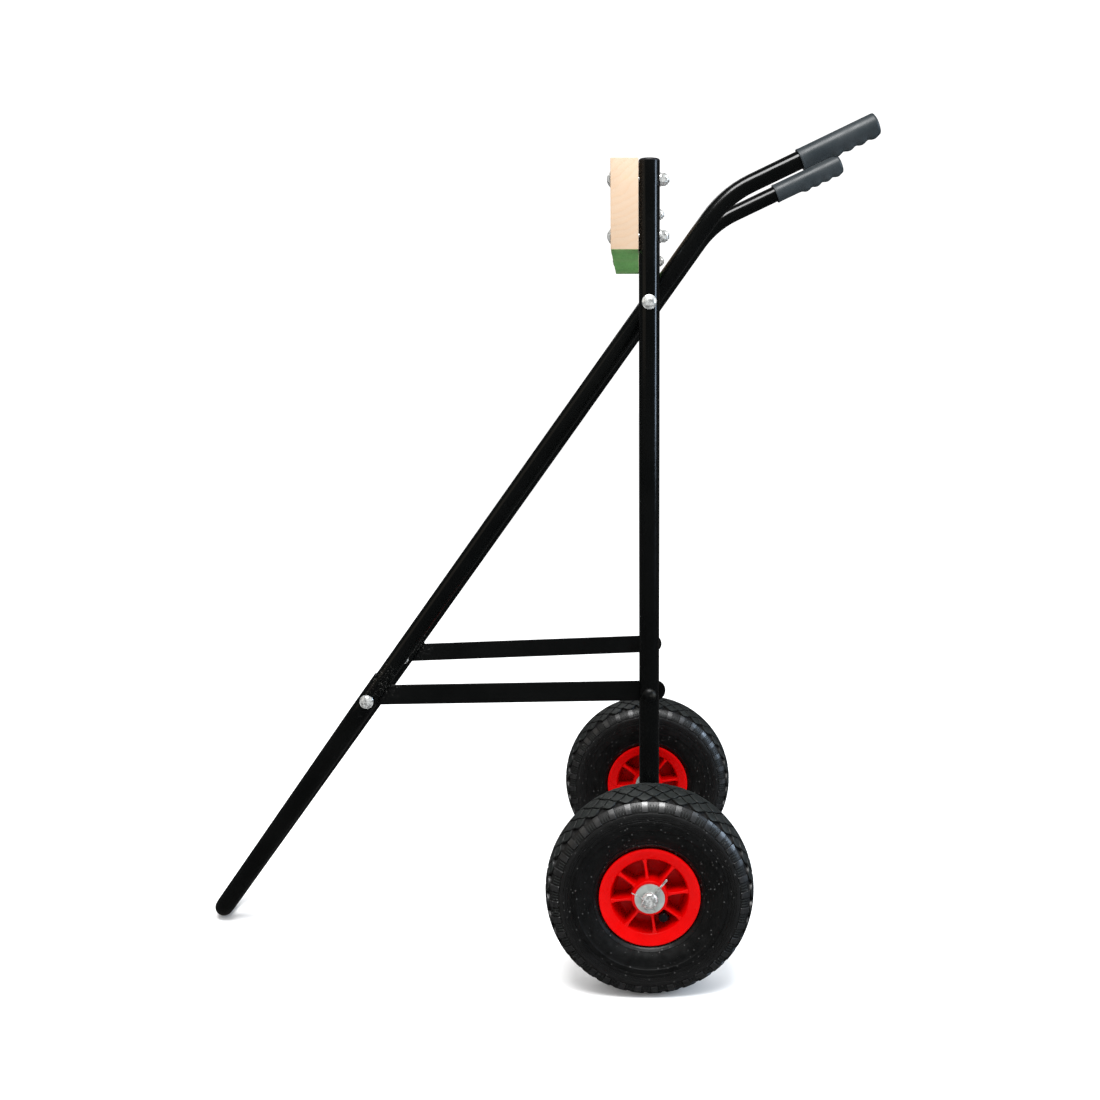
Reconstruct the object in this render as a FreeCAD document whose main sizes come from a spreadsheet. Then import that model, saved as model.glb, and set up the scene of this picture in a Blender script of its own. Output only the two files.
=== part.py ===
import FreeCAD, Part
import math
import os

# Two-wheeled transport trolley for an outboard motor: two upright tubes on an axle, a wooden clamp
# board across their tops, two handle tubes that run back and down into one V-shaped leg tube, a flat
# brace on each side, and two pneumatic wheels on moulded rims.
# Millimetres. +Z is up, +X points to the handles, -X to the foot. Left is -Y, seen from the handles.
# The origin is on the floor under the middle of the object's bounding box.

doc = FreeCAD.newDocument("trolley")
Vector, Rotation, Placement = FreeCAD.Vector, FreeCAD.Rotation, FreeCAD.Placement

DIMENSIONS = (
    # where the axle and the frame stand
    ("axle_x", 170.03, "axle from the middle of the bounding box"),
    ("axle_z", 130.0, "axle above the floor, the tyre's radius"),
    ("wheel_y", 227.0, "middle of a wheel from the mid-plane"),
    ("upright_y", 165.0, "axis of an upright from the mid-plane"),
    # upright tubes
    ("upright_od", 25.4, "1 inch tube"),
    ("tube_wall", 1.5, "wall of every frame tube"),
    ("upright_top", 1015.6, "top of an upright above the floor"),
    ("plug_rise", 3.0, "crown of the upright's end plug"),
    ("plug_round", 2.4, "rounding of the plug's crown"),
    ("plug_depth", 16.0, "length of the plug inside the tube"),
    # handle tubes
    ("handle_od", 22.0, "handle tube"),
    ("pivot_z", 850.3, "height at which a handle tube crosses its upright"),
    ("lean", 54.08, "slope of the handle tube above the horizontal, degrees"),
    ("top_lean", 25.0, "slope of its upper end, degrees"),
    ("splay", 1.0, "outward tilt of each handle tube, degrees"),
    ("corner_rise", 128.6, "height of the handle bend's corner above the crossing"),
    ("handle_bend", 130.0, "centre line radius of the handle's bend"),
    ("handle_reach", 197.0, "corner to the end of the tube, along the upper run"),
    ("side_gap", 0.3, "gap between the handle tube and the upright"),
    ("in_socket", 46.0, "length of the handle tube inside the leg's socket"),
    # grips
    ("grip_long", 102.0, "whole length of a grip"),
    ("grip_od", 26.0, "outside diameter of a grip"),
    ("grip_play", 0.05, "radial clearance between a grip and its tube"),
    ("grip_end", 3.0, "thickness of the grip's closed end"),
    ("grip_round", 2.5, "rounding of the closed end"),
    ("keel_deep", 3.2, "depth of the finger ridge under a grip"),
    ("keel_wide", 13.0, "width of the finger ridge"),
    ("keel_start", 37.0, "finger ridge from the grip's mouth"),
    ("groove_pitch", 16.0, "spacing of the finger grooves"),
    ("groove_r", 5.2, "radius of a finger groove"),
    ("groove_deep", 2.7, "depth of a finger groove"),
    # leg
    ("leg_od", 25.0, "leg tube, which sleeves over the handle tubes"),
    ("socket_z", 375.0, "top of the leg's sockets above the floor"),
    ("socket_run", 50.0, "straight length of a socket"),
    ("knee_run", 8.0, "end of the socket to the corner of its bend"),
    ("leg_bend", 70.0, "centre line radius below a socket"),
    ("foot_bend", 32.0, "centre line radius of the foot"),
    ("leg_bolt_run", 34.0, "bolt below the socket's top, along the tube"),
    # braces
    ("brace_high", 25.0, "height of the flat bar"),
    ("brace_thick", 5.0, "thickness of the flat bar"),
    ("brace_z", 363.8, "height of the brace at the upright"),
    ("brace_rise", 1.6, "slope of the brace up towards the upright, degrees"),
    ("brace_past", 8.5, "centre of the rounded end past the upright's axis"),
    ("brace_gap", 0.1, "gap between a brace and its upright"),
    ("brace_skew", 0.8, "room for the slant of a brace under its washer"),
    # board
    ("board_long", 356.0, "length of the board, across the trolley"),
    ("board_high", 107.4, "height of the board"),
    ("board_thick", 34.0, "thickness of the board"),
    ("board_top", 1018.6, "top of the board above the floor"),
    ("bolt_upper", 24.0, "upper bolts below the board's top"),
    ("bolt_pitch", 66.0, "distance between upper and lower bolts"),
    # fasteners
    ("bolt_d", 8.0, "shank of every frame bolt"),
    ("hole_play", 0.2, "radial clearance of a hole"),
    ("drill_long", 80.0, "length of the cutters that make the holes"),
    ("head_d", 18.0, "domed bolt head"),
    ("head_high", 4.2, "height of the domed head"),
    ("nut_af", 13.0, "nut across flats"),
    ("nut_high", 8.0, "self-locking nut"),
    ("nut_hex_high", 5.8, "height of the nut's hexagon"),
    ("nut_collar_d", 11.6, "diameter of the nut's collar"),
    ("thread_gap", 0.03, "radial gap between a nut and its bolt"),
    ("bolt_out", 1.8, "thread beyond the nut"),
    ("seat_gap", 0.3, "gap under a head or washer on a sloping tube"),
    ("small_washer_od", 16.0, "washer under a nut"),
    ("small_washer_thick", 1.6, "thickness of that washer"),
    # axle
    ("axle_d", 20.0, "axle rod"),
    ("cross_od", 26.9, "cross tube that carries the axle"),
    ("cross_id", 20.6, "bore of the cross tube"),
    ("axle_out", 8.5, "axle beyond the outer washer"),
    ("axle_round", 4.0, "rounding of the axle's ends"),
    ("washer_od", 37.0, "wheel washer"),
    ("washer_thick", 2.5, "thickness of a wheel washer"),
    ("washer_gap", 0.3, "play between hub and washer"),
    ("pin_d", 1.9, "wire of the split pin"),
    ("pin_hole_d", 4.6, "cross hole in the axle"),
    ("pin_gap", 0.4, "axle between the outer washer and the cross hole"),
    ("pin_turn", 51.0, "direction of a split pin above the +X axis, degrees"),
    # rim
    ("hub_half", 35.0, "half length of the hub"),
    ("hub_r", 22.3, "outside radius of the hub"),
    ("hub_bore_r", 11.5, "radius of the hub's middle bore"),
    ("bearing_r", 14.5, "outside radius of a roller bearing"),
    ("bearing_long", 26.0, "length of a roller bearing"),
    ("bearing_play", 0.05, "radial clearance between bearing and axle"),
    ("barrel_r", 52.5, "bead seat radius"),
    ("barrel_in_r", 47.0, "inside radius of the rim barrel"),
    ("flange_r", 62.4, "rim flange radius"),
    ("flange_half", 34.6, "half width over the flanges"),
    ("flange_thick", 6.0, "thickness of a flange"),
    ("dish_r", 60.0, "outside radius of the flange's dished face"),
    ("dish_deep", 5.0, "depth of the dish at the barrel's inside"),
    ("web_thick", 6.0, "disc between the hub and the barrel"),
    ("rib_thick", 3.6, "thickness of a rib"),
    ("rib_half", 29.5, "half width of the ribs"),
    ("rib_turn", 7.5, "angle of the first rib, degrees"),
    # tyre and tube
    ("tyre_r", 130.0, "tyre radius"),
    ("tyre_half", 41.7, "half width of the tyre"),
    ("tyre_wall", 6.0, "thickness of the tyre"),
    ("tube_gap", 0.4, "gap between the inner tube and what is round it"),
    ("inner_tube_wall", 1.6, "thickness of the inner tube"),
    ("inner_tube_share", 0.80, "width of the inner tube as a share of the room for it"),
    # valve
    ("valve_angle", -59.5, "angle of the valve round the wheel, degrees"),
    ("valve_d", 8.0, "valve stem"),
    ("valve_root", 9.0, "valve hole from the wheel's middle, outward"),
    ("valve_r", 33.2, "radius at which the stem runs outward"),
    ("valve_tip", 24.0, "end of the stem from the wheel's middle"),
    ("valve_bend", 6.0, "centre line radius of the stem's bend"),
    ("valve_cap_d", 12.4, "valve cap"),
    ("valve_cap_start", 18.4, "inner end of the cap from the wheel's middle"),
    ("valve_cap_end", 28.0, "outer end of the cap from the wheel's middle"),
)

sheet = doc.addObject("Spreadsheet::Sheet", "Size")
for row, (alias, value, meaning) in enumerate(DIMENSIONS, start=1):
    sheet.set("A%d" % row, str(value))
    sheet.set("B%d" % row, meaning)
    sheet.setAlias("A%d" % row, alias)
doc.recompute()

ALONG = {
    "x": Rotation(Vector(0, 1, 0), 90),
    "y": Rotation(Vector(1, 0, 0), -90),
    "z": Rotation(),
}
SIDES = (("left", -1), ("right", 1))
BOLT_HOLE = "Size.bolt_d / 2 + Size.hole_play"
nodes = []


def size(alias):
    """A driving dimension, as a number."""
    return float(sheet.get(alias))


def place(item, at, rotation):
    """Puts an object at three expressions, turned by a fixed rotation."""
    item.Placement = Placement(Vector(), rotation)
    for letter, expression in zip("xyz", at):
        item.setExpression("Placement.Base." + letter, expression)
    return item


def cylinder(name, radius, height, at, along="z"):
    item = doc.addObject("Part::Cylinder", name)
    item.setExpression("Radius", radius)
    item.setExpression("Height", height)
    return place(item, at, ALONG[along])


def box(name, length, width, height, at, rotation=Rotation()):
    item = doc.addObject("Part::Box", name)
    item.setExpression("Length", length)
    item.setExpression("Width", width)
    item.setExpression("Height", height)
    return place(item, at, rotation)


def cut(name, base, *tools):
    item = doc.addObject("Part::Cut", name)
    item.Base = base
    item.Tool = tools[0] if len(tools) == 1 else fuse(name + "_tools", *tools)
    return item


def fuse(name, *shapes):
    item = doc.addObject("Part::MultiFuse", name)
    item.Shapes = list(shapes)
    return item


def group(name, *shapes):
    """Several separate solids that make one node."""
    item = doc.addObject("Part::Compound", name)
    item.Links = list(shapes)
    return item


def feature(name, shape):
    item = doc.addObject("Part::Feature", name)
    item.Shape = shape
    return item


def node(label, item):
    """Names a finished sub-part."""
    item.Label = label
    nodes.append(item)
    return item


def plus(side, expression):
    """The expression with the sign of a side."""
    return "%s(%s)" % ("-" if side < 0 else "", expression)


def rounded_path(points, radii):
    """Straight runs through the points, joined by tangent arcs at the inner points."""
    edges = []
    start = points[0]
    for before, corner, after, radius in zip(points, points[1:], points[2:], radii):
        back = (before - corner).normalize()
        ahead = (after - corner).normalize()
        half_turn = (math.pi - back.getAngle(ahead)) / 2
        reach = radius * math.tan(half_turn)
        first, last = corner + back * reach, corner + ahead * reach
        inward = (back + ahead).normalize()
        middle = corner + inward * (radius / math.cos(half_turn) - radius)
        edges.append(Part.LineSegment(start, first).toShape())
        edges.append(Part.Arc(first, middle, last).toShape())
        start = last
    edges.append(Part.LineSegment(start, points[-1]).toShape())
    return Part.Wire(edges)


def swept_rod(path, radius):
    start = path.Edges[0].Vertexes[0].Point
    direction = path.Edges[0].tangentAt(path.Edges[0].FirstParameter)
    ring = Part.Wire(Part.makeCircle(radius, start, direction))
    return path.makePipeShell([ring], True, True)


def swept_tube(path, outer_radius, inner_radius):
    return swept_rod(path, outer_radius).cut(swept_rod(path, inner_radius))


# ---------------------------------------------------------------- the lines of the frame

AXLE_X = size("axle_x")
SLOPE = math.radians(size("lean"))
TOP_SLOPE = math.radians(size("top_lean"))
SPLAY = math.radians(size("splay"))
PIVOT_Y = (size("upright_y") - size("upright_od") / 2 - size("handle_od") / 2
           - size("side_gap"))
SOCKET_RISE = (size("socket_z") - size("pivot_z")) / math.cos(SPLAY)


def handle_point(side, along_x, rise):
    """A point of a handle tube's plane, from its crossing with the upright. The plane tilts outward."""
    return Vector(AXLE_X + along_x,
                  side * (PIVOT_Y + rise * math.sin(SPLAY)),
                  size("pivot_z") + rise * math.cos(SPLAY))


def handle_axis(side, rise):
    """A point on the straight lower run of a handle tube, rise above the crossing."""
    return handle_point(side, rise / math.tan(SLOPE), rise)


def handle_path(side):
    corner_rise = size("corner_rise")
    bottom = handle_axis(side, SOCKET_RISE - size("in_socket") * math.sin(SLOPE))
    corner = handle_axis(side, corner_rise)
    reach = size("handle_reach")
    end = handle_point(side, corner_rise / math.tan(SLOPE) + reach * math.cos(TOP_SLOPE),
                       corner_rise + reach * math.sin(TOP_SLOPE))
    return [bottom, corner, end]


# ---------------------------------------------------------------- uprights

def bolt_heights():
    """Heights of the board's bolts, as expressions."""
    upper = "Size.board_top - Size.bolt_upper"
    return (upper, upper + " - Size.bolt_pitch")


def upright(side, word):
    y = plus(side, "Size.upright_y")
    across = y + " - Size.drill_long / 2"
    start, tall = ("Size.axle_x", y, "Size.axle_z"), "Size.upright_top - Size.axle_z"
    outer = cylinder("upright_outer_" + word, "Size.upright_od / 2", tall, start)
    inner = cylinder("upright_bore_" + word, "Size.upright_od / 2 - Size.tube_wall", tall, start)
    saddle = cylinder("upright_saddle_" + word, "Size.cross_od / 2", "Size.drill_long",
                      ("Size.axle_x", across, "Size.axle_z"), "y")
    holes = [cylinder("upright_hole_%s_%d" % (word, number), BOLT_HOLE, "Size.drill_long",
                      ("Size.axle_x - Size.drill_long / 2", y, height), "x")
             for number, height in enumerate(bolt_heights())]
    for name, height in (("pivot", "Size.pivot_z"), ("brace", "Size.brace_z")):
        holes.append(cylinder("upright_%s_hole_%s" % (name, word), BOLT_HOLE, "Size.drill_long",
                              ("Size.axle_x", across, height), "y"))
    node("upright_" + word, cut("upright_body_" + word, outer, inner, saddle, *holes))


def end_plug(side, word):
    """A plastic plug with a domed crown, pushed into the top of an upright."""
    at = ("Size.axle_x", plus(side, "Size.upright_y"))
    stem = cylinder("plug_stem_" + word, "Size.upright_od / 2 - Size.tube_wall", "Size.plug_depth",
                    at + ("Size.upright_top - Size.plug_depth",))
    crown = cylinder("plug_crown_" + word, "Size.upright_od / 2", "Size.plug_rise",
                     at + ("Size.upright_top",))
    body = fuse("plug_body_" + word, stem, crown)
    doc.recompute()
    rounded = doc.addObject("Part::Fillet", "plug_round_" + word)
    rounded.Base = body
    top = max(range(len(body.Shape.Edges)), key=lambda i: body.Shape.Edges[i].CenterOfMass.z)
    rounded.Edges = [(top + 1, size("plug_round"), size("plug_round"))]
    node("upright_plug_" + word, rounded)


for word, side in SIDES:
    upright(side, word)
    end_plug(side, word)


# ---------------------------------------------------------------- handle tubes and grips

def bolt_bore(point):
    """The cutter of a bolt hole across the trolley, with its middle at the point."""
    long = size("drill_long")
    return Part.makeCylinder(size("bolt_d") / 2 + size("hole_play"), long,
                             point - Vector(0, long / 2, 0), Vector(0, 1, 0))


def leg_bolt_point(side):
    return handle_axis(side, SOCKET_RISE - size("leg_bolt_run") * math.sin(SLOPE))


def handle_tube(side, word):
    path = rounded_path(handle_path(side), [size("handle_bend")])
    radius = size("handle_od") / 2
    shape = swept_tube(path, radius, radius - size("tube_wall"))
    shape = shape.cut([bolt_bore(handle_axis(side, 0)), bolt_bore(leg_bolt_point(side))])
    node("handle_tube_" + word, feature("handle_tube_" + word, shape))


def finger_ridge(radius):
    """The ridge under a grip, with a groove before each of its lobes."""
    start, wide, deep = size("keel_start"), size("keel_wide"), size("keel_deep")
    ridge = Part.makeBox(size("grip_long") - size("grip_end") - start, wide, radius + deep,
                         Vector(start, -wide / 2, -radius - deep))
    low = -radius - deep - size("groove_r") + size("groove_deep")
    grooves = [Part.makeCylinder(size("groove_r"), wide, Vector(at, -wide / 2, low), Vector(0, 1, 0))
               for at in (start + size("groove_pitch") * number for number in range(4))]
    return ridge.cut(grooves)


def grip(side, word):
    """A sleeve with a closed end and a finger ridge, made along +X and then put on the tube."""
    outer, bore = size("grip_od") / 2, size("handle_od") / 2 + size("grip_play")
    length, closed = size("grip_long"), size("grip_end")
    sleeve = Part.makeCylinder(outer, length, Vector(), Vector(1, 0, 0))
    sleeve = sleeve.makeFillet(size("grip_round"), [edge for edge in sleeve.Edges
                                                    if edge.CenterOfMass.x > length - closed])
    shape = sleeve.fuse(finger_ridge(outer)).removeSplitter()
    shape = shape.cut(Part.makeCylinder(bore, length - closed, Vector(), Vector(1, 0, 0)))
    end = handle_path(side)[2]
    item = feature("grip_" + word, shape)
    tilt = Rotation(Vector(1, 0, 0), -math.degrees(SPLAY) * side)
    slope = Rotation(Vector(0, 1, 0), -math.degrees(TOP_SLOPE))
    turn = tilt.multiply(slope)
    inside = turn.multVec(Vector(length - closed - size("side_gap"), 0, 0))
    item.Placement = Placement(end - inside, turn)
    node("grip_" + word, item)


for word, side in SIDES:
    handle_tube(side, word)
    grip(side, word)


# ---------------------------------------------------------------- leg

def leg_points():
    """Centre line of the V: socket, arm, foot, arm, socket, all in the plane of the handle tubes."""
    foot_z = size("leg_od") / 2
    down = Vector(-math.cos(SLOPE), 0, -math.sin(SLOPE))
    socket_top = handle_axis(1, SOCKET_RISE)
    fall = (socket_top - handle_axis(1, 0)).normalize()
    knee = socket_top + fall * (size("socket_run") + size("knee_run"))
    foot = Vector(AXLE_X + (foot_z - size("pivot_z")) * down.x / down.z, 0, foot_z)
    # the arms leave the foot's arc as tangents, so they meet at a corner beyond the foot
    bend, corner = size("foot_bend"), foot
    for _ in range(40):
        half = math.atan2(knee.y, (corner - knee).dot(down))
        corner = foot + down * (bend / math.sin(half) - bend)
    mirror = lambda point: Vector(point.x, -point.y, point.z)
    return [mirror(socket_top), mirror(knee), corner, knee, socket_top]


def leg_tube():
    path = rounded_path(leg_points(), [size("leg_bend"), size("foot_bend"), size("leg_bend")])
    radius = size("leg_od") / 2
    shape = swept_tube(path, radius, radius - size("tube_wall"))
    shape = shape.cut([bolt_bore(leg_bolt_point(side)) for _, side in SIDES])
    node("leg_tube", feature("leg_tube", shape))


leg_tube()


# ---------------------------------------------------------------- braces

def brace(side, word):
    """A flat bar from the leg's socket to the inner side of the upright, with a rounded end."""
    high, thick, past = size("brace_high"), size("brace_thick"), size("brace_past")
    inner_face = size("upright_y") - size("upright_od") / 2
    at_upright = Vector(AXLE_X, side * (inner_face - thick / 2 - size("brace_gap")), size("brace_z"))
    leg_end = leg_bolt_point(side)
    run = leg_end - at_upright
    bar = Part.makeBox(math.hypot(run.x, run.y) + past, thick, high,
                       Vector(-past, -thick / 2, -high / 2))
    nose = Part.makeCylinder(high / 2, thick, Vector(-past, -thick / 2, 0), Vector(0, 1, 0))
    shape = bar.fuse(nose).removeSplitter().cut(bolt_bore(Vector()))
    shape.Placement = Placement(at_upright, Rotation(
        Vector(0, 0, 1), math.degrees(math.atan2(run.y, run.x))).multiply(
            Rotation(Vector(0, 1, 0), size("brace_rise"))))
    top, low = (handle_axis(side, SOCKET_RISE - size("socket_run") * share) for share in (0, 2))
    socket = Part.makeCylinder(size("leg_od") / 2, (low - top).Length, top, low - top)
    reach = size("drill_long")
    beyond = Part.makeBox(reach, reach, 2 * reach, Vector(-reach, -reach / 2, -reach))
    beyond.Placement = Placement(leg_end, Rotation(Vector(0, 1, 0), 90 - size("lean")))
    node("brace_" + word, feature("brace_" + word, shape.cut([socket, beyond])))


for word, side in SIDES:
    brace(side, word)


# ---------------------------------------------------------------- board

def motor_board():
    blank = box("board_blank", "Size.board_thick", "Size.board_long", "Size.board_high",
                ("Size.axle_x - Size.upright_od / 2 - Size.board_thick", "-Size.board_long / 2",
                 "Size.board_top - Size.board_high"))
    holes = [cylinder("board_hole_%s_%d" % (word, number), BOLT_HOLE, "Size.drill_long",
                      ("Size.axle_x - Size.drill_long", plus(side, "Size.upright_y"), height), "x")
             for word, side in SIDES for number, height in enumerate(bolt_heights())]
    node("motor_board", cut("board_body", blank, *holes))


motor_board()


# ---------------------------------------------------------------- fasteners

def domed_bolt(head_at, direction, grip_length):
    """A bolt with a domed head. head_at is the middle of the face under its head."""
    radius, high = size("head_d") / 2, size("head_high")
    ball = (radius * radius + high * high) / (2 * high)
    dome = Part.makeSphere(ball, Vector(0, 0, ball - high)).common(
        Part.makeCylinder(radius, high, Vector(0, 0, -high)))
    shank = Part.makeCylinder(size("bolt_d") / 2, grip_length)
    shape = dome.fuse(shank).removeSplitter()
    shape.Placement = Placement(head_at, Rotation(Vector(0, 0, 1), direction))
    return shape


def hexagon_nut(at, direction):
    """A self-locking nut with a collar. at is the middle of its seat."""
    corner = size("nut_af") / math.sqrt(3)
    points = [Vector(corner * math.cos(math.radians(60 * n + 30)),
                     corner * math.sin(math.radians(60 * n + 30)), 0) for n in range(7)]
    body = Part.Face(Part.makePolygon(points)).extrude(Vector(0, 0, size("nut_hex_high")))
    collar = Part.makeCylinder(size("nut_collar_d") / 2, size("nut_high"))
    bore = Part.makeCylinder(size("bolt_d") / 2 + size("thread_gap"), size("nut_high"))
    shape = body.fuse(collar).removeSplitter().cut(bore)
    shape.Placement = Placement(at, Rotation(Vector(0, 0, 1), direction))
    return shape


def washer(at, direction):
    thick = size("small_washer_thick")
    shape = Part.makeCylinder(size("small_washer_od") / 2, thick).cut(
        Part.makeCylinder(size("bolt_d") / 2 + size("hole_play"), thick))
    shape.Placement = Placement(at, Rotation(Vector(0, 0, 1), direction))
    return shape


def fastener_set(name, seats):
    """Bolts, washers and nuts of one kind. A seat is the head's place, the direction of the shank and
    the thickness that is clamped."""
    bolts, washers, nuts = [], [], []
    for head_at, direction, clamped in seats:
        thick, nut = size("small_washer_thick"), size("nut_high")
        bolts.append(domed_bolt(head_at, direction, clamped + thick + nut + size("bolt_out")))
        washers.append(washer(head_at + direction * clamped, direction))
        nuts.append(hexagon_nut(head_at + direction * (clamped + thick), direction))
    for word, shapes in (("bolts", bolts), ("washers", washers), ("nuts", nuts)):
        label = "%s_%s" % (name, word)
        node(label, feature(label, Part.makeCompound(shapes)))


def board_seats():
    face = AXLE_X - size("upright_od") / 2 - size("board_thick")
    clamped = size("board_thick") + size("upright_od")
    upper = size("board_top") - size("bolt_upper")
    return [(Vector(face, side * size("upright_y"), height), Vector(1, 0, 0), clamped)
            for _, side in SIDES for height in (upper, upper - size("bolt_pitch"))]


def pivot_seats():
    outer = size("upright_y") + size("upright_od") / 2
    clamped = size("upright_od") + size("side_gap") + size("handle_od") + size("seat_gap")
    return [(Vector(AXLE_X, side * outer, size("pivot_z")), Vector(0, -side, 0), clamped)
            for _, side in SIDES]


def leg_seats():
    seats = []
    for _, side in SIDES:
        middle, seat = leg_bolt_point(side), size("leg_od") / 2 + size("seat_gap")
        seats.append((middle + Vector(0, side * seat, 0), Vector(0, -side, 0), 2 * seat))
    return seats


def brace_seats():
    outer = size("upright_y") + size("upright_od") / 2
    clamped = size("upright_od") + size("brace_thick") + size("brace_skew")
    return [(Vector(AXLE_X, side * outer, size("brace_z")), Vector(0, -side, 0), clamped)
            for _, side in SIDES]


fastener_set("board", board_seats())
fastener_set("pivot", pivot_seats())
fastener_set("leg", leg_seats())
fastener_set("brace", brace_seats())


# ---------------------------------------------------------------- axle

HUB_END = "Size.wheel_y + Size.hub_half"
HUB_START = "Size.wheel_y - Size.hub_half"
AXLE_SHOULDER = HUB_END + " + Size.washer_gap + Size.washer_thick"
PIN_Y = AXLE_SHOULDER + " + Size.pin_gap + Size.pin_hole_d / 2"


def axle():
    half = "(%s + Size.axle_out)" % AXLE_SHOULDER
    at = ("Size.axle_x", "-" + half, "Size.axle_z")
    rod = cylinder("axle_rod", "Size.axle_d / 2", "2 * " + half, at, "y")
    doc.recompute()
    rounded = doc.addObject("Part::Fillet", "axle_rounded")
    rounded.Base = rod
    rounded.Edges = [(number, size("axle_round"), size("axle_round"))
                     for number, edge in enumerate(rod.Shape.Edges, start=1)
                     if edge.Closed and len(edge.Vertexes) == 1]
    turn = Rotation(Vector(0, 1, 0), 90 - size("pin_turn"))
    back = turn.multVec(Vector(0, 0, -size("drill_long") / 2))
    holes = []
    for word, side in SIDES:
        hole = doc.addObject("Part::Cylinder", "axle_hole_" + word)
        hole.setExpression("Radius", "Size.pin_hole_d / 2")
        hole.setExpression("Height", "Size.drill_long")
        holes.append(place(hole, ("Size.axle_x + %.6f" % back.x, plus(side, PIN_Y),
                                  "Size.axle_z + %.6f" % back.z), turn))
    node("axle", cut("axle_body", rounded, *holes))


def cross_tube():
    half = "(%s - Size.washer_gap - Size.washer_thick)" % HUB_START
    at = ("Size.axle_x", "-" + half, "Size.axle_z")
    outer = cylinder("cross_outer", "Size.cross_od / 2", "2 * " + half, at, "y")
    inner = cylinder("cross_bore", "Size.cross_id / 2", "2 * " + half, at, "y")
    node("axle_tube", cut("cross_body", outer, inner))


def wheel_washers(name, start):
    """One washer on each side of the trolley. start is its inner face's distance from the mid-plane."""
    rings = []
    for word, side in SIDES:
        base = start if side > 0 else "%s + Size.washer_thick" % start
        at = ("Size.axle_x", plus(side, base), "Size.axle_z")
        disc = cylinder("%s_disc_%s" % (name, word), "Size.washer_od / 2", "Size.washer_thick", at, "y")
        bore = cylinder("%s_bore_%s" % (name, word), "Size.axle_d / 2 + Size.hole_play",
                        "Size.washer_thick", at, "y")
        rings.append(cut("%s_ring_%s" % (name, word), disc, bore))
    node(name, group(name + "_pair", *rings))


def split_pins():
    """Doubled wire through each end of the axle. One leg is bent over the end of the axle and the
    other under it. The points are along X, up and outward from the pin's crossing with the axle."""
    wire, near = size("pin_d"), size("axle_d") / 2
    half_gap = wire / 2 + 0.06
    turn = Rotation(Vector(0, 1, 0), -size("pin_turn"))

    def doubled(along, across):
        way = turn.multVec(Vector(along, 0, across))
        return way.x, way.z, 0

    line = [(-21.9, 9.0, 5.5), (-6.5, 3.0, 7.4), (-9.6, -2.0, 6.3), (-10.5, -6.0, 3.5),
            doubled(-near - 2.0, half_gap), doubled(near + 22.0, half_gap),
            doubled(near + 23.5, 0), doubled(near + 22.0, -half_gap),
            doubled(-near - 2.5, -half_gap), (-2.5, -13.5, 0.8), (6.5, -11.8, 2.2)]
    shapes = []
    for _, side in SIDES:
        y = (size("wheel_y") + size("hub_half") + size("washer_gap") + size("washer_thick")
             + size("pin_gap") + size("pin_hole_d") / 2)
        points = [Vector(AXLE_X + x, side * (y + out), size("axle_z") + z) for x, z, out in line]
        bends = [1.2, 1.2, 1.2, 1.2, 0.6, 0.6, 0.6, 1.2, 1.2]
        shapes.append(swept_rod(rounded_path(points, bends), wire / 2))
    node("split_pins", feature("split_pins", Part.makeCompound(shapes)))


axle()
cross_tube()
wheel_washers("outer_washers", "%s + Size.washer_gap" % HUB_END)
wheel_washers("inner_washers", "%s - Size.washer_gap - Size.washer_thick" % HUB_START)
split_pins()


# ---------------------------------------------------------------- wheels

def wheel_cylinder(name, side, radius, low, high):
    """A cylinder on the wheel's axis, between two distances from the wheel's middle."""
    at = ("Size.axle_x", "%s + (%s)" % (plus(side, "Size.wheel_y"), low), "Size.axle_z")
    return cylinder(name, radius, "(%s) - (%s)" % (high, low), at, "y")


def rim_flange(side, word, end):
    """A lip of the rim at one end, with its outer face dished towards the barrel."""
    name = "%s_%s" % (word, "inner" if end < 0 else "outer")
    low = "-Size.flange_half" if end < 0 else "Size.flange_half - Size.flange_thick"
    high = low + " + Size.flange_thick"
    plate = wheel_cylinder("rim_plate_" + name, side, "Size.flange_r", low, high)
    eye = wheel_cylinder("rim_eye_" + name, side, "Size.barrel_in_r", low, high)
    dish = doc.addObject("Part::Cone", "rim_dish_" + name)
    dish.setExpression("Radius1", "Size.barrel_in_r" if end > 0 else "Size.dish_r")
    dish.setExpression("Radius2", "Size.dish_r" if end > 0 else "Size.barrel_in_r")
    dish.setExpression("Height", "Size.dish_deep")
    start = "Size.flange_half - Size.dish_deep" if end > 0 else "-Size.flange_half"
    place(dish, ("Size.axle_x", "%s + (%s)" % (plus(side, "Size.wheel_y"), start), "Size.axle_z"),
          ALONG["y"])
    return cut("rim_lip_" + name, plate, eye), dish


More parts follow.
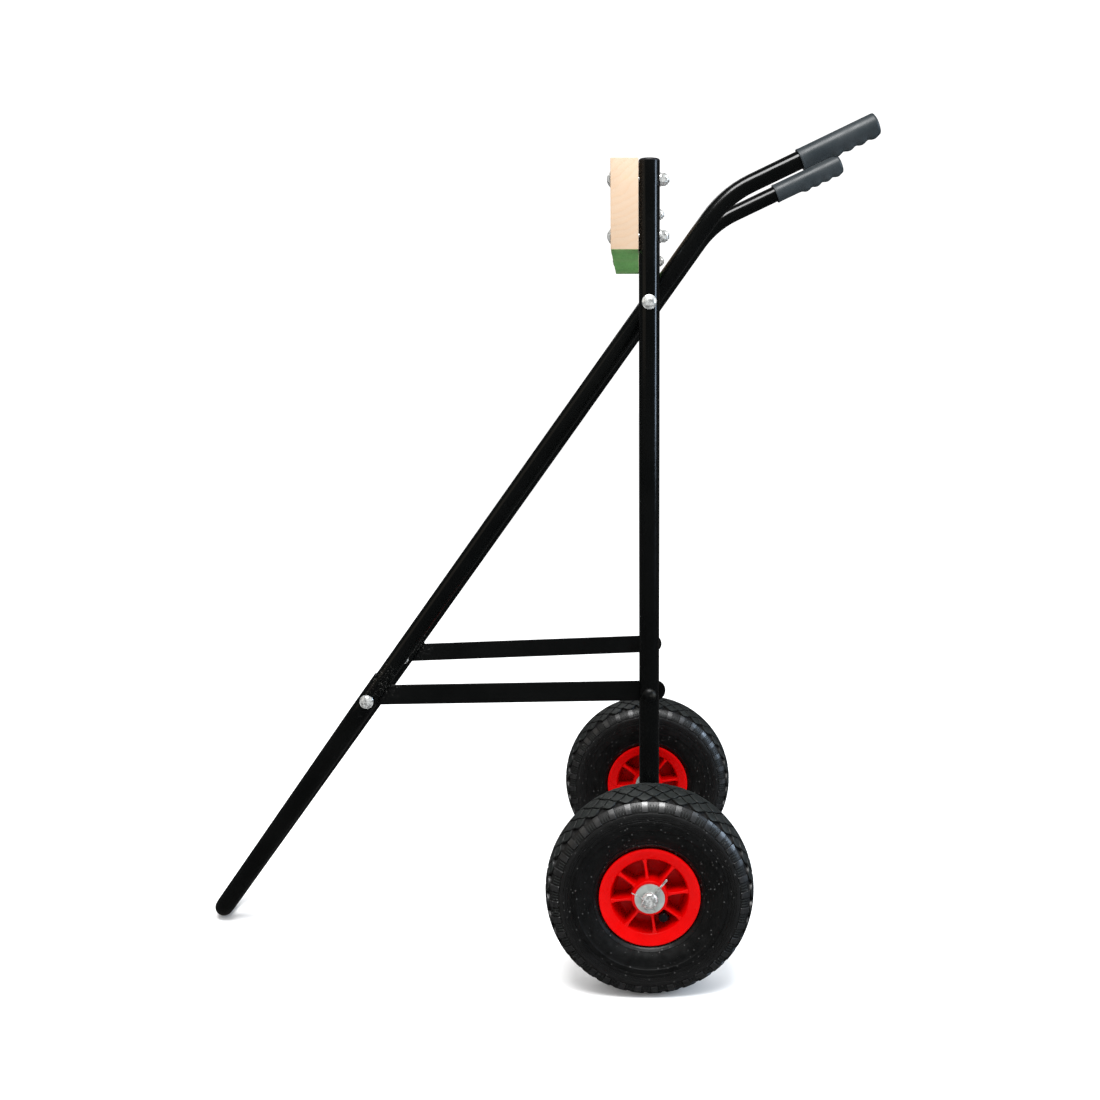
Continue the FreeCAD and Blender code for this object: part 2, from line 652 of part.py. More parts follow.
def rim(side, word):
    def disc(name, radius, half):
        return wheel_cylinder("rim_%s_%s" % (name, word), side, radius, "-(%s)" % half, half)

    flanges, dishes = zip(*(rim_flange(side, word, end) for end in (-1, 1)))
    barrel = cut("rim_barrel_" + word, disc("drum", "Size.barrel_r", "Size.flange_half"),
                 disc("well", "Size.barrel_in_r", "Size.flange_half"))
    tyre_seat = cut("rim_ring_" + word, fuse("rim_rings_" + word, barrel, *flanges), *dishes)
    ribs = []
    for number in range(8):
        turn = Rotation(Vector(0, 1, 0), -(size("rib_turn") + 45 * number))
        low = turn.multVec(Vector(0, 0, -size("rib_thick") / 2))
        rib = box("rim_rib_%s_%d" % (word, number), "Size.barrel_in_r + 1", "2 * Size.rib_half",
                  "Size.rib_thick",
                  ("Size.axle_x + %.6f" % low.x, "%s - Size.rib_half" % plus(side, "Size.wheel_y"),
                   "Size.axle_z + %.6f" % low.z), turn)
        ribs.append(rib)
    whole = fuse("rim_solid_" + word, tyre_seat, disc("web", "Size.barrel_in_r + 1", "Size.web_thick / 2"),
                 disc("hub", "Size.hub_r", "Size.hub_half"), *ribs)
    seats = [wheel_cylinder("rim_seat_%s_%s" % (end, word), side, "Size.bearing_r", low, high)
             for end, low, high in (("a", "-Size.hub_half", "Size.bearing_long - Size.hub_half"),
                                    ("b", "Size.hub_half - Size.bearing_long", "Size.hub_half"))]
    node("rim_" + word, cut("rim_body_" + word, whole, disc("bore", "Size.hub_bore_r", "Size.hub_half"),
                            valve_hole(side, word), *seats))


def valve_hole(side, word):
    """The cutter of the hole in the barrel, along the valve's own radial line."""
    hole = doc.addObject("Part::Cylinder", "rim_valve_hole_" + word)
    hole.setExpression("Radius", "Size.valve_d / 2 + Size.hole_play")
    hole.setExpression("Height", "Size.barrel_r")
    turn = Rotation(Vector(0, 1, 0), 90 - size("valve_angle"))
    return place(hole, ("Size.axle_x + Size.valve_r * cos(Size.valve_angle)",
                        plus(side, "Size.wheel_y + Size.valve_root"),
                        "Size.axle_z + Size.valve_r * sin(Size.valve_angle)"), turn)


def bearings(side, word):
    """Two caged roller bearings pressed into the ends of the hub."""
    sleeves = []
    for end, low, high in (("a", "-Size.hub_half", "Size.bearing_long - Size.hub_half"),
                           ("b", "Size.hub_half - Size.bearing_long", "Size.hub_half")):
        outer = wheel_cylinder("bearing_outer_%s_%s" % (end, word), side, "Size.bearing_r", low, high)
        bore = wheel_cylinder("bearing_bore_%s_%s" % (end, word), side,
                              "Size.axle_d / 2 + Size.bearing_play", low, high)
        sleeves.append(cut("bearing_sleeve_%s_%s" % (end, word), outer, bore))
    node("hub_bearings_" + word, group("bearing_pair_" + word, *sleeves))


def tyre_half_outline(inset):
    """Points of half the tyre's section, as (radius, distance from the middle), moved in by inset.
    Each pair of steps after the first point is an arc through its middle point."""
    crown, half = size("tyre_r") - inset, size("tyre_half") - inset
    bead = size("flange_half") - size("flange_thick") - 0.2 - inset * 0.9
    foot = size("barrel_r") + 0.1
    return {
        "crown": (crown, 0.0),
        "crown_middle": (crown - 0.96, half * 0.36),
        "shoulder": (crown - 3.6, half * 0.70),
        "shoulder_middle": (crown - 11.0, half * 0.925),
        "side": (crown - 31.0, half),
        "side_middle": (size("flange_r") + 14.0 + inset * 0.3, half - 2.2),
        "lip": (size("flange_r") + 1.6 + inset * 0.5, bead + 1.8),
        "bead": (size("flange_r") + 0.2 + inset * 0.5, bead),
        "foot": (foot, bead),
    }


def ring_section(outline):
    """The face of a mirrored outline, open towards the axle between its two feet."""
    def at(name, sign):
        radius, across = outline[name]
        return Vector(0, sign * across, radius)

    edges = []
    for sign in (1, -1):
        edges += [
            Part.Arc(at("crown", sign), at("crown_middle", sign), at("shoulder", sign)).toShape(),
            Part.Arc(at("shoulder", sign), at("shoulder_middle", sign), at("side", sign)).toShape(),
            Part.Arc(at("side", sign), at("side_middle", sign), at("lip", sign)).toShape(),
            Part.LineSegment(at("lip", sign), at("bead", sign)).toShape(),
            Part.LineSegment(at("bead", sign), at("foot", sign)).toShape(),
        ]
    edges.append(Part.LineSegment(at("foot", 1), at("foot", -1)).toShape())
    return Part.Face(Part.Wire(Part.__sortEdges__(edges)))


def wheel_ring(section):
    return section.revolve(Vector(), Vector(0, 1, 0), 360)


def tyre_and_tube(side, word):
    centre = Vector(AXLE_X, side * size("wheel_y"), size("axle_z"))
    outside = wheel_ring(ring_section(tyre_half_outline(0)))
    cavity = wheel_ring(ring_section(tyre_half_outline(size("tyre_wall"))))
    tyre = feature("tyre_" + word, outside.cut(cavity))
    tyre.Placement = Placement(centre, Rotation())
    node("tyre_" + word, tyre)

    gap, wall = size("tube_gap"), size("inner_tube_wall")
    outer_r = size("tyre_r") - size("tyre_wall") - gap
    inner_r = size("barrel_r") + gap
    middle, section_r = (outer_r + inner_r) / 2, (outer_r - inner_r) / 2
    half = size("tyre_half") - size("tyre_wall") - gap
    squeeze = FreeCAD.Matrix()
    squeeze.scale(1, size("inner_tube_share") * half / section_r, 1)
    skin = Part.makeTorus(middle, section_r, Vector(), Vector(0, 1, 0)).transformGeometry(squeeze)
    air = Part.makeTorus(middle, section_r - wall, Vector(), Vector(0, 1, 0)).transformGeometry(squeeze)
    tube = feature("inner_tube_" + word, skin.cut(air))
    tube.Placement = Placement(centre, Rotation())
    node("inner_tube_" + word, tube)


def valve(side, word):
    """The inner tube's stem, which comes through the barrel and bends outward, and its cap."""
    angle = math.radians(size("valve_angle"))

    def at(radius, out):
        return Vector(AXLE_X + radius * math.cos(angle), side * (size("wheel_y") + out),
                      size("axle_z") + radius * math.sin(angle))

    radius, tip = size("valve_r"), size("valve_tip")
    path = rounded_path([at(size("barrel_r") + size("tube_gap"), size("valve_root")),
                         at(radius, size("valve_root")), at(radius, tip)], [size("valve_bend")])
    node("valve_stem_" + word, feature("valve_stem_" + word, swept_rod(path, size("valve_d") / 2)))
    start, outward = size("valve_cap_start"), Vector(0, side, 0)
    cap = Part.makeCylinder(size("valve_cap_d") / 2, size("valve_cap_end") - start, at(radius, start),
                            outward)
    room = Part.makeCylinder(size("valve_d") / 2 + size("grip_play"), tip - start + size("grip_play"),
                             at(radius, start), outward)
    node("valve_cap_" + word, feature("valve_cap_" + word, cap.cut(room)))


for word, side in SIDES:
    rim(side, word)
    bearings(side, word)
    tyre_and_tube(side, word)
    valve(side, word)


# ---------------------------------------------------------------- checks and files

doc.recompute()
for item in doc.Objects:
    if "Invalid" in item.State or "Error" in item.State:
        raise RuntimeError("%s failed: %s" % (item.Name, item.State))
for item in nodes:
    if item.Shape.isNull() or not item.Shape.isValid() or not item.Shape.Solids:
        raise RuntimeError("%s has no valid solid" % item.Label)

os.makedirs("parts", exist_ok=True)
for item in nodes:
    item.Shape.exportStep(os.path.join("parts", item.Label + ".step"))

whole = FreeCAD.BoundBox()
for item in nodes:
    whole.add(item.Shape.optimalBoundingBox(False))
print("%d nodes, x %.2f %.2f, y %.2f %.2f, z %.2f %.2f" % (
    len(nodes), whole.XMin, whole.XMax, whole.YMin, whole.YMax, whole.ZMin, whole.ZMax))
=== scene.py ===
import math
import random

import bmesh
import bpy
from mathutils import Matrix, Vector


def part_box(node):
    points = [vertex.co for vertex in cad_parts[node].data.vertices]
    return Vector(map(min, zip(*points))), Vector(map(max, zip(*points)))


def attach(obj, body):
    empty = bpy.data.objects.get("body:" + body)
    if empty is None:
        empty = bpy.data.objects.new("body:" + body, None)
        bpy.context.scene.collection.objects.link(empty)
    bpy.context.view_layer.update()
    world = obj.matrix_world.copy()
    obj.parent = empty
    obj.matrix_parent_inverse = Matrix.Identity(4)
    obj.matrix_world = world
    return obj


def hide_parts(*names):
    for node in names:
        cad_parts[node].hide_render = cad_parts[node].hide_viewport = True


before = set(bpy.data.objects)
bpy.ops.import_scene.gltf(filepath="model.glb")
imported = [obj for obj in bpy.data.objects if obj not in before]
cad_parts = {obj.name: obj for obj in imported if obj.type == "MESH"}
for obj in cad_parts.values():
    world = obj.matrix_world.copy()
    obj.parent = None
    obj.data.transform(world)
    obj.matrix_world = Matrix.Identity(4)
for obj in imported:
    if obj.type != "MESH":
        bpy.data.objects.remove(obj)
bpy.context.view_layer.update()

# A two-wheeled transport trolley for an outboard motor, in metres: black tubes, a wooden clamp board,
# grey grips and pneumatic wheels on red moulded rims. Outlines are written in millimetres.

MM = 0.001
SIDES = (("left", -1), ("right", 1))


# ---------------------------------------------------------------- where things are

def middle_of(node):
    """The middle of a CAD node's box."""
    low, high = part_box(node)
    return (low + high) / 2


AXLE = middle_of("axle")
UPRIGHT_Y = middle_of("upright_right").y
TUBE_R = (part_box("upright_right")[1].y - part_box("upright_right")[0].y) / 2
HANDLE_R = 0.011
GRIP_SLOPE = math.radians(25.0)
SPLAY = math.radians(1.0)


def solids(node):
    """The box of each separate solid in a CAD node."""
    shape = bmesh.new()
    shape.from_mesh(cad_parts[node].data)
    bmesh.ops.remove_doubles(shape, verts=shape.verts, dist=1e-6)
    left = set(shape.verts)
    boxes = []
    while left:
        reached, queue = [], [left.pop()]
        while queue:
            vertex = queue.pop()
            reached.append(vertex.co.copy())
            for edge in vertex.link_edges:
                other = edge.other_vert(vertex)
                if other in left:
                    left.remove(other)
                    queue.append(other)
        boxes.append(tuple(Vector([pick(p[i] for p in reached) for i in range(3)])
                           for pick in (min, max)))
    shape.free()
    return sorted(boxes, key=lambda box: tuple(round(c, 4) for c in box[0]))


# ---------------------------------------------------------------- meshes

class Shell:
    """Points and faces of a piece while it is made."""

    def __init__(self):
        self.points, self.faces, self.finish = [], [], []

    def face(self, indices, finish=0):
        self.faces.append(tuple(indices))
        self.finish.append(finish)

    def grid(self, rows, round_rows=False, round_columns=False, finish=0):
        """Quads over rows of points. Returns the index of the first point."""
        first, wide = len(self.points), len(rows[0])
        for row in rows:
            self.points.extend(row)
        for i in range(len(rows) - (0 if round_rows else 1)):
            for j in range(wide - (0 if round_columns else 1)):
                a, b = first + i * wide, first + (i + 1) % len(rows) * wide
                k = (j + 1) % wide
                self.face((a + j, a + k, b + k, b + j), finish)
        return first

    def tube(self, rings, finish=0):
        """A closed skin over rings of points, with a flat face at each end."""
        first, wide = self.grid(rings, round_columns=True, finish=finish), len(rings[0])
        self.face(range(first, first + wide), finish)
        last = first + (len(rings) - 1) * wide
        self.face(reversed(range(last, last + wide)), finish)

    def piece(self, name, body, slot, finishes, sharp=35.0, stands_for=()):
        """Makes the object, smooth except over edges sharper than an angle in degrees."""
        mesh = bpy.data.meshes.new(name)
        mesh.from_pydata(self.points, [], self.faces)
        for finish in finishes:
            mesh.materials.append(finish)
        mesh.polygons.foreach_set("material_index", self.finish)
        shape = bmesh.new()
        shape.from_mesh(mesh)
        bmesh.ops.recalc_face_normals(shape, faces=shape.faces)
        shape.to_mesh(mesh)
        shape.free()
        mesh.shade_smooth()
        mesh.set_sharp_from_angle(angle=math.radians(sharp))
        item = bpy.data.objects.new(name, mesh)
        bpy.context.scene.collection.objects.link(item)
        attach(item, body)
        if stands_for:
            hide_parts(*stands_for)
        return item


def rounded(corners, steps=5, closed=False):
    """A flat outline of (x, y, radius) corners with each corner rounded."""
    outline, count = [], len(corners)
    for index, (x, y, radius) in enumerate(corners):
        here = Vector((x, y))
        if radius <= 0 or (not closed and index in (0, count - 1)):
            outline.append((x, y))
            continue
        back = (Vector(corners[index - 1][:2]) - here).normalized()
        ahead = (Vector(corners[(index + 1) % count][:2]) - here).normalized()
        half = back.angle(ahead) / 2
        centre = here + (back + ahead).normalized() * (radius / math.sin(half))
        start = here + back * (radius / math.tan(half)) - centre
        end = here + ahead * (radius / math.tan(half)) - centre
        turn = start.angle_signed(end)
        for step in range(steps + 1):
            outline.append(tuple(centre + Matrix.Rotation(-turn * step / steps, 2) @ start))
    return outline


def frame_along(direction):
    """Two directions square to a direction."""
    ahead, up = direction.normalized(), Vector((0, 0, 1))
    if abs(ahead.dot(up)) > 0.95:
        up = Vector((0, 1, 0))
    across = ahead.cross(up).normalized()
    return across, across.cross(ahead).normalized()


def lathe(shell, outline, at, direction, steps):
    """Turns an open outline of (radius, height) in millimetres round a direction and closes its ends."""
    across, up = frame_along(direction)
    ahead = direction.normalized()
    rows = []
    for step in range(steps):
        angle = 2 * math.pi * step / steps
        out = across * math.cos(angle) + up * math.sin(angle)
        rows.append([at + (out * radius + ahead * height) * MM for radius, height in outline])
    first, wide = shell.grid(rows, round_rows=True), len(outline)
    for column in (0, wide - 1):
        shell.face([first + step * wide + column for step in range(steps)])


def bent(points, bend, steps=6):
    """A path through the points with its inner corners rounded by arcs."""
    path = [points[0]]
    for before, corner, after in zip(points, points[1:], points[2:]):
        back, ahead = (before - corner).normalized(), (after - corner).normalized()
        half = back.angle(ahead) / 2
        reach = min(bend / math.tan(half), 0.45 * (before - corner).length,
                    0.45 * (after - corner).length)
        start, end = corner + back * reach, corner + ahead * reach
        for step in range(steps + 1):
            t = step / steps
            path.append(start * (1 - t) ** 2 + corner * 2 * t * (1 - t) + end * t * t)
    return path + [points[-1]]


def wire(shell, path, radius, steps=12, finish=0):
    """A round rod along a path. radius is a number, or a function of the share of the path."""
    rings, up = [], None
    for index, here in enumerate(path):
        ahead = (path[min(index + 1, len(path) - 1)] - path[max(index - 1, 0)]).normalized()
        up = frame_along(ahead)[1] if up is None else (up - ahead * up.dot(ahead)).normalized()
        across = ahead.cross(up)
        size = radius(index / (len(path) - 1)) if callable(radius) else radius
        rings.append([here + (across * math.cos(a) + up * math.sin(a)) * size
                      for a in (2 * math.pi * step / steps for step in range(steps))])
    shell.tube(rings, finish)


# ---------------------------------------------------------------- materials

class Finish:
    """A material while it is made: its shader, and short calls that add nodes to it."""

    def __init__(self, name, roughness, metallic=0.0, **sockets):
        self.material = bpy.data.materials.new(name)
        self.material.use_nodes = True
        self.tree = self.material.node_tree
        self.shader = self.tree.nodes["Principled BSDF"]
        self.shader.inputs["Roughness"].default_value = roughness
        self.shader.inputs["Metallic"].default_value = metallic
        for name_of_socket, value in sockets.items():
            self.shader.inputs[name_of_socket.replace("_", " ")].default_value = value
        self.here = self.tree.nodes.new("ShaderNodeTexCoord").outputs["Object"]

    def node(self, kind, inputs, output=0, **settings):
        item = self.tree.nodes.new(kind)
        for key, value in settings.items():
            setattr(item, key, value)
        for key, value in inputs.items():
            if isinstance(value, bpy.types.NodeSocket):
                self.tree.links.new(value, item.inputs[key])
            else:
                item.inputs[key].default_value = value
        return item.outputs[output]

    def to(self, socket, value):
        self.tree.links.new(value, self.shader.inputs[socket])

    def noise(self, scale, detail=2.0, rough=0.5, bend=0.0, vector=None):
        return self.node("ShaderNodeTexNoise", {"Vector": vector or self.here, "Scale": scale,
                                                "Detail": detail, "Roughness": rough,
                                                "Distortion": bend})

    def cells(self, scale):
        return self.node("ShaderNodeTexVoronoi", {"Vector": self.here, "Scale": scale})

    def stretched(self, scale, turn=(0, 0, 0), move=(0, 0, 0)):
        return self.node("ShaderNodeMapping", {"Vector": self.here, "Scale": scale, "Rotation": turn,
                                               "Location": move})

    def height(self):
        return self.node("ShaderNodeSeparateXYZ", {0: self.here}, 2)

    def span(self, value, low, high, to_low=0.0, to_high=1.0):
        return self.node("ShaderNodeMapRange", {"Value": value, "From Min": low, "From Max": high,
                                                "To Min": to_low, "To Max": to_high})

    def sum(self, operation, first, second):
        return self.node("ShaderNodeMath", {0: first, 1: second}, operation=operation)

    def away_from(self, point):
        return self.node("ShaderNodeVectorMath", {0: self.here, 1: point}, "Value",
                         operation="DISTANCE")

    def ramp(self, value, *stops):
        item = self.tree.nodes.new("ShaderNodeValToRGB")
        self.tree.links.new(value, item.inputs[0])
        elements = item.color_ramp.elements
        while len(elements) < len(stops):
            elements.new(0.5)
        for element, (place, colour) in zip(elements, stops):
            element.position, element.color = place, (*colour, 1.0)
        return item.outputs[0]

    def mixed(self, share, first, second):
        def ready(value):
            return value if isinstance(value, bpy.types.NodeSocket) else (*value, 1.0)
        return self.node("ShaderNodeMix", {0: share, 6: ready(first), 7: ready(second)}, 2,
                         data_type="RGBA")

    def relief(self, *layers):
        """Bumps in metres: pairs of a height from 0 to 1 and its depth."""
        normal = None
        for height, depth in layers:
            inputs = {"Height": height, "Distance": depth, "Strength": 1.0}
            if normal is not None:
                inputs["Normal"] = normal
            normal = self.node("ShaderNodeBump", inputs)
        self.to("Normal", normal)


def paint(name, roughness, peel, worn_at):
    """Black powder coat with orange peel, faint dust and bare scuffs near some points."""
    look = Finish(name, roughness, Specular_IOR_Level=0.27, Coat_Weight=0.08, Coat_Roughness=0.12)
    clouds = look.noise(9.0, 4.0, 0.6)
    colour = look.ramp(clouds, (0.3, (0.0008, 0.0010, 0.0010)), (0.75, (0.0019, 0.0021, 0.0020)))
    dust = look.span(look.noise(240.0, 3.0, 0.7), 0.68, 0.78)
    colour = look.mixed(look.sum("MULTIPLY", dust, 0.12), colour, (0.06, 0.06, 0.057))
    scuff = None
    for point, reach in worn_at:
        near = look.span(look.away_from(point), reach, reach * 0.45)
        scuff = near if scuff is None else look.sum("MAXIMUM", scuff, near)
    streaks = look.noise(1.0, 4.0, 0.65, 0.6, look.stretched((420.0, 300.0, 900.0), (0, 0.6, 0)))
    bare = look.sum("MULTIPLY", look.span(streaks, 0.60, 0.68), scuff)
    rough = look.span(look.noise(30.0, 3.0), 0.3, 0.7, roughness - 0.05, roughness + 0.07)
    look.to("Base Color", look.mixed(bare, colour, (0.10, 0.098, 0.09)))
    look.to("Roughness", look.sum("ADD", rough, look.sum("MULTIPLY", bare, 0.25)))
    look.relief((look.noise(520.0, 2.0), peel), (look.noise(60.0, 2.0), peel * 2.5))
    return look.material


def plastic(name, dark, light, roughness, grain, fine=900.0):
    """A moulded plastic or rubber between two shades, with a grain given by its depth and scale."""
    look = Finish(name, roughness, Specular_IOR_Level=0.3)
    look.to("Base Color", look.ramp(look.noise(22.0, 4.0, 0.6), (0.3, dark), (0.72, light)))
    look.to("Roughness", look.span(look.noise(70.0, 3.0), 0.3, 0.7, roughness - 0.05,
                                   roughness + 0.08))
    look.relief((look.noise(fine, 3.0, 0.6), grain))
    return look.material


def zinc(name, base, roughness, spangle=160.0, metallic=0.62, shade=0.38):
    """Chalky zinc plate: a soft spangle in the colour and the gloss, with a few dull stains. The
    shade is the share of the colour that the spangle's dark spots keep."""
    look = Finish(name, roughness, metallic=metallic)
    plate = look.noise(spangle, 3.0, 0.6)
    dark = tuple(shade * c for c in base)
    colour = look.ramp(plate, (0.40, dark), (0.56, base))
    stain = look.span(look.noise(45.0, 4.0, 0.7), 0.55, 0.75)
    colour = look.mixed(look.sum("MULTIPLY", stain, 0.6 - 0.6 * shade), colour, (0.20, 0.19, 0.16))
    look.to("Base Color", colour)
    look.to("Roughness", look.span(plate, 0.3, 0.7, roughness + 0.12, roughness - 0.05))
    look.relief((look.noise(spangle * 5, 2.0), 0.00002))
    return look.material


def wood(low, high):
    """Sawn softwood. The growth rings turn round a line along the board, so its ends show arcs and
    its long faces show lengthwise grain. The green underside is painted bounced light, not a stain."""
    look = Finish("wood", 0.62)
    wobble = look.noise(1.0, 3.0, 0.5, 0.0, look.stretched((18.0, 3.0, 18.0)))
    pith = (low.x - 0.055, 0.0, high.z + 0.060)
    flat = look.stretched((1.0, 0.0, 1.0), move=(-pith[0], 0.0, -pith[2]))
    ring = look.node("ShaderNodeVectorMath", {0: flat}, "Value", operation="LENGTH")
    ring = look.sum("ADD", ring, look.span(wobble, 0.0, 1.0, -0.014, 0.014))
    year = look.sum("FRACT", look.sum("MULTIPLY", ring, 130.0), 0.0)
    late = look.span(year, 0.35, 0.95)
    grain = look.noise(1.0, 4.0, 0.6, 0.2, look.stretched((900.0, 45.0, 900.0)))
    pale = look.ramp(look.noise(14.0, 3.0), (0.3, (0.325, 0.232, 0.155)), (0.7, (0.375, 0.280, 0.198)))
    colour = look.mixed(look.sum("MULTIPLY", late, 0.26), pale, (0.36, 0.22, 0.12))
    colour = look.mixed(look.sum("MULTIPLY", look.span(grain, 0.55, 0.8), 0.28), colour,
                        (0.52, 0.32, 0.18))
    knot = look.span(look.noise(26.0, 2.0, 0.4), 0.66, 0.74)
    colour = look.mixed(look.sum("MULTIPLY", knot, 0.5), colour, (0.50, 0.28, 0.14))
    ragged = look.sum("ADD", look.height(), look.span(grain, 0.0, 1.0, -0.0004, 0.0004))
    # painted reflected light: the underside gets a green tint standing for green light bounced up from
    # below
    green_bounce_mask = look.span(ragged, low.z + 0.0012, low.z + 0.0004)
    painted_green_bounce = look.ramp(look.noise(1.0, 4.0, 0.6, 0.3, look.stretched((60.0, 9.0, 60.0))),
                      (0.3, (0.060, 0.205, 0.036)), (0.7, (0.100, 0.280, 0.060)))
    look.to("Base Color", look.mixed(green_bounce_mask, colour, painted_green_bounce))
    look.to("Roughness", look.span(grain, 0.3, 0.7, 0.5, 0.7))
    look.relief((grain, 0.00012), (late, 0.00006))
    return look.material


def red_moulding():
    """The rims' red plastic, semi-gloss and a little uneven."""
    look = Finish("red_moulding", 0.28, Specular_IOR_Level=0.05)
    look.to("Base Color", look.ramp(look.noise(30.0, 4.0, 0.55), (0.3, (0.38, 0.0001, 0.0002)),
                                    (0.7, (0.43, 0.0002, 0.0003))))
    look.to("Roughness", look.span(look.noise(90.0, 3.0), 0.3, 0.7, 0.25, 0.40))
    look.relief((look.noise(420.0, 2.0), 0.00002), (look.noise(40.0, 2.0), 0.00008))
    return look.material


def tyre_rubber(name, dark, light, roughness, specks, axle_at=None, ior=1.48):
    """Black rubber with a fine grain and pale specks of dust. With an axle it is greyer outwards."""
    look = Finish(name, roughness, IOR=ior)
    colour = look.ramp(look.noise(60.0, 5.0, 0.7), (0.32, dark), (0.72, light))
    if axle_at:
        flat = look.stretched((1.0, 0.0, 1.0), move=(-axle_at.x, 0.0, -axle_at.z))
        radius = look.node("ShaderNodeVectorMath", {0: flat}, "Value", operation="LENGTH")
        colour = look.mixed(look.span(radius, 0.095, 0.112), colour, (0.0060, 0.0059, 0.0058))
    dust = look.span(look.cells(170.0), 0.20, 0.10)
    patchy = look.span(look.noise(70.0, 3.0, 0.7), 0.42, 0.52)
    dust = look.sum("MULTIPLY", look.sum("MULTIPLY", dust, patchy), specks)
    look.to("Base Color", look.mixed(dust, colour, (0.17, 0.17, 0.165)))
    look.to("Roughness", look.span(look.noise(110.0, 4.0), 0.3, 0.7, roughness - 0.08,
                                   roughness + 0.10))
    look.relief((look.noise(1300.0, 3.0, 0.7), 0.00004), (look.noise(200.0, 3.0), 0.00006))
    return look.material


leg_low, leg_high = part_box("leg_tube")
board_low, board_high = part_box("motor_board")
WORN = [(Vector((leg_high.x - 0.008, side * (leg_high.y - 0.012), leg_high.z - 0.008)), 0.030)
        for side in (-1, 1)]
WORN.append((Vector((leg_low.x + 0.010, 0.0, leg_low.z + 0.004)), 0.028))

PAINT = paint("frame_paint", 0.17, 0.00003, WORN)
FLAT_PAINT = paint("bar_paint", 0.36, 0.00004, WORN[:2])
PLUG = plastic("plug_plastic", (0.003, 0.003, 0.0035), (0.006, 0.006, 0.0065), 0.42, 0.00003)
GRIP = plastic("grip_rubber", (0.013, 0.018, 0.021), (0.024, 0.029, 0.032), 0.38, 0.00005, 1400.0)
BRIGHT = zinc("bright_zinc", (0.72, 0.73, 0.71), 0.20, 260.0)
DULL = zinc("dull_zinc", (0.36, 0.39, 0.37), 0.40, 90.0, 0.40, 0.80)
BLACK_STEEL = zinc("black_steel", (0.006, 0.007, 0.007), 0.30)
BEARING = zinc("bearing_steel", (0.50, 0.50, 0.50), 0.30)
NYLON = plastic("nylon", (0.50, 0.52, 0.55), (0.62, 0.64, 0.66), 0.5, 0.00002)
RED = red_moulding()
TYRE = tyre_rubber("tyre_rubber", (0.0010, 0.0011, 0.0011), (0.0032, 0.0033, 0.0032), 0.40, 0.26, AXLE)
TREAD = tyre_rubber("tread_rubber", (0.0050, 0.0066, 0.0060), (0.0130, 0.0158, 0.0146), 0.55, 0.2)
LUG = tyre_rubber("lug_rubber", (0.0030, 0.0031, 0.0032), (0.0120, 0.0122, 0.0125), 0.38, 0.2, ior=1.9)
TUBE_RUBBER = plastic("tube_rubber", (0.003, 0.003, 0.003), (0.006, 0.006, 0.006), 0.6, 0.00005)
CAP_PLASTIC = plastic("cap_plastic", (0.0022, 0.0022, 0.003), (0.005, 0.005, 0.006), 0.25, 0.00002)
WOOD = wood(board_low, board_high)


# ---------------------------------------------------------------- wheels

PITCHES = 36
PITCH_ANGLE = 2 * math.pi / PITCHES


def wheel_place(side, word):
    """Puts a point given by radius, angle and the way outward from the wheel's middle."""
    middle = middle_of("rim_" + word)

    def put(radius, angle, out):
        return middle + Vector((radius * math.cos(angle), side * out, radius * math.sin(angle))) * MM
    return put


def arc_through(a, b, c, steps):
    """Points from a to c on the circle through b."""
    ab, ac = Vector(b) - Vector(a), Vector(c) - Vector(a)
    cross = 2 * (ab.x * ac.y - ab.y * ac.x)
    centre = Vector(a) + Vector((ac.y * ab.length_squared - ab.y * ac.length_squared,
                                 ab.x * ac.length_squared - ac.x * ab.length_squared)) / cross
    start, end = Vector(a) - centre, Vector(c) - centre
    turn = start.angle_signed(end)
    return [centre + Matrix.Rotation(-turn * step / steps, 2) @ start for step in range(steps + 1)]


class TyreSkin:
    """The outside of half a tyre's section as (radius, way out), found by the run from the crown."""

    def __init__(self):
        crown = (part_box("tyre_left")[1].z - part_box("tyre_left")[0].z) / 2 / MM
        half, flange = 41.7, 62.4
        line = arc_through((crown, 0), (crown - 0.96, half * 0.36), (crown - 3.6, half * 0.7), 16)
        line += arc_through((crown - 3.6, half * 0.7), (crown - 11, half * 0.925),
                            (crown - 31, half), 24)[1:]
        line += arc_through((crown - 31, half), (flange + 14, half - 2.2),
                            (flange + 1.6, half - 9.5), 24)[1:]
        self.line, self.runs = line, [0.0]
        for before, after in zip(line, line[1:]):
            self.runs.append(self.runs[-1] + (after - before).length)

    def at(self, run, lift=0.0):
        """(radius, way out) at a run, which is negative on the inner side, raised by a lift."""
        length = min(abs(run), self.runs[-1] - 1e-6)
        index = next(i for i, value in enumerate(self.runs) if value > length) - 1
        before, after = self.line[index], self.line[index + 1]
        share = (length - self.runs[index]) / (self.runs[index + 1] - self.runs[index])
        way = (after - before).normalized()
        point = before.lerp(after, share) + Vector((way.y, -way.x)) * lift
        return point.x, math.copysign(point.y, run) if run else 0.0

    def run_at(self, radius):
        """The run at which the sidewall has a radius."""
        return next(run for run, point in zip(self.runs, self.line) if point.x <= radius)


SKIN = TyreSkin()
SCALE_ROWS = (0.0, 12.6, 25.2, 34.2)   # crossings of the grooves and the outer tips, as runs
TREAD_DEPTH = 3.4
LUG_START, LUG_END, LUG_LIFT = 35.0, 50.5, 1.5
TREAD_TURN = 0.29   # the first pitch past the top of the wheel, in pitches
BLOCK_CHAMFER, NUBS = 0.45, 46


def scale_edge(tip, side_run, t):
    """Run of a scale's rounded edge, t from 0 at its tip to 1 at its side corner."""
    return tip + (side_run - tip) * t ** 2


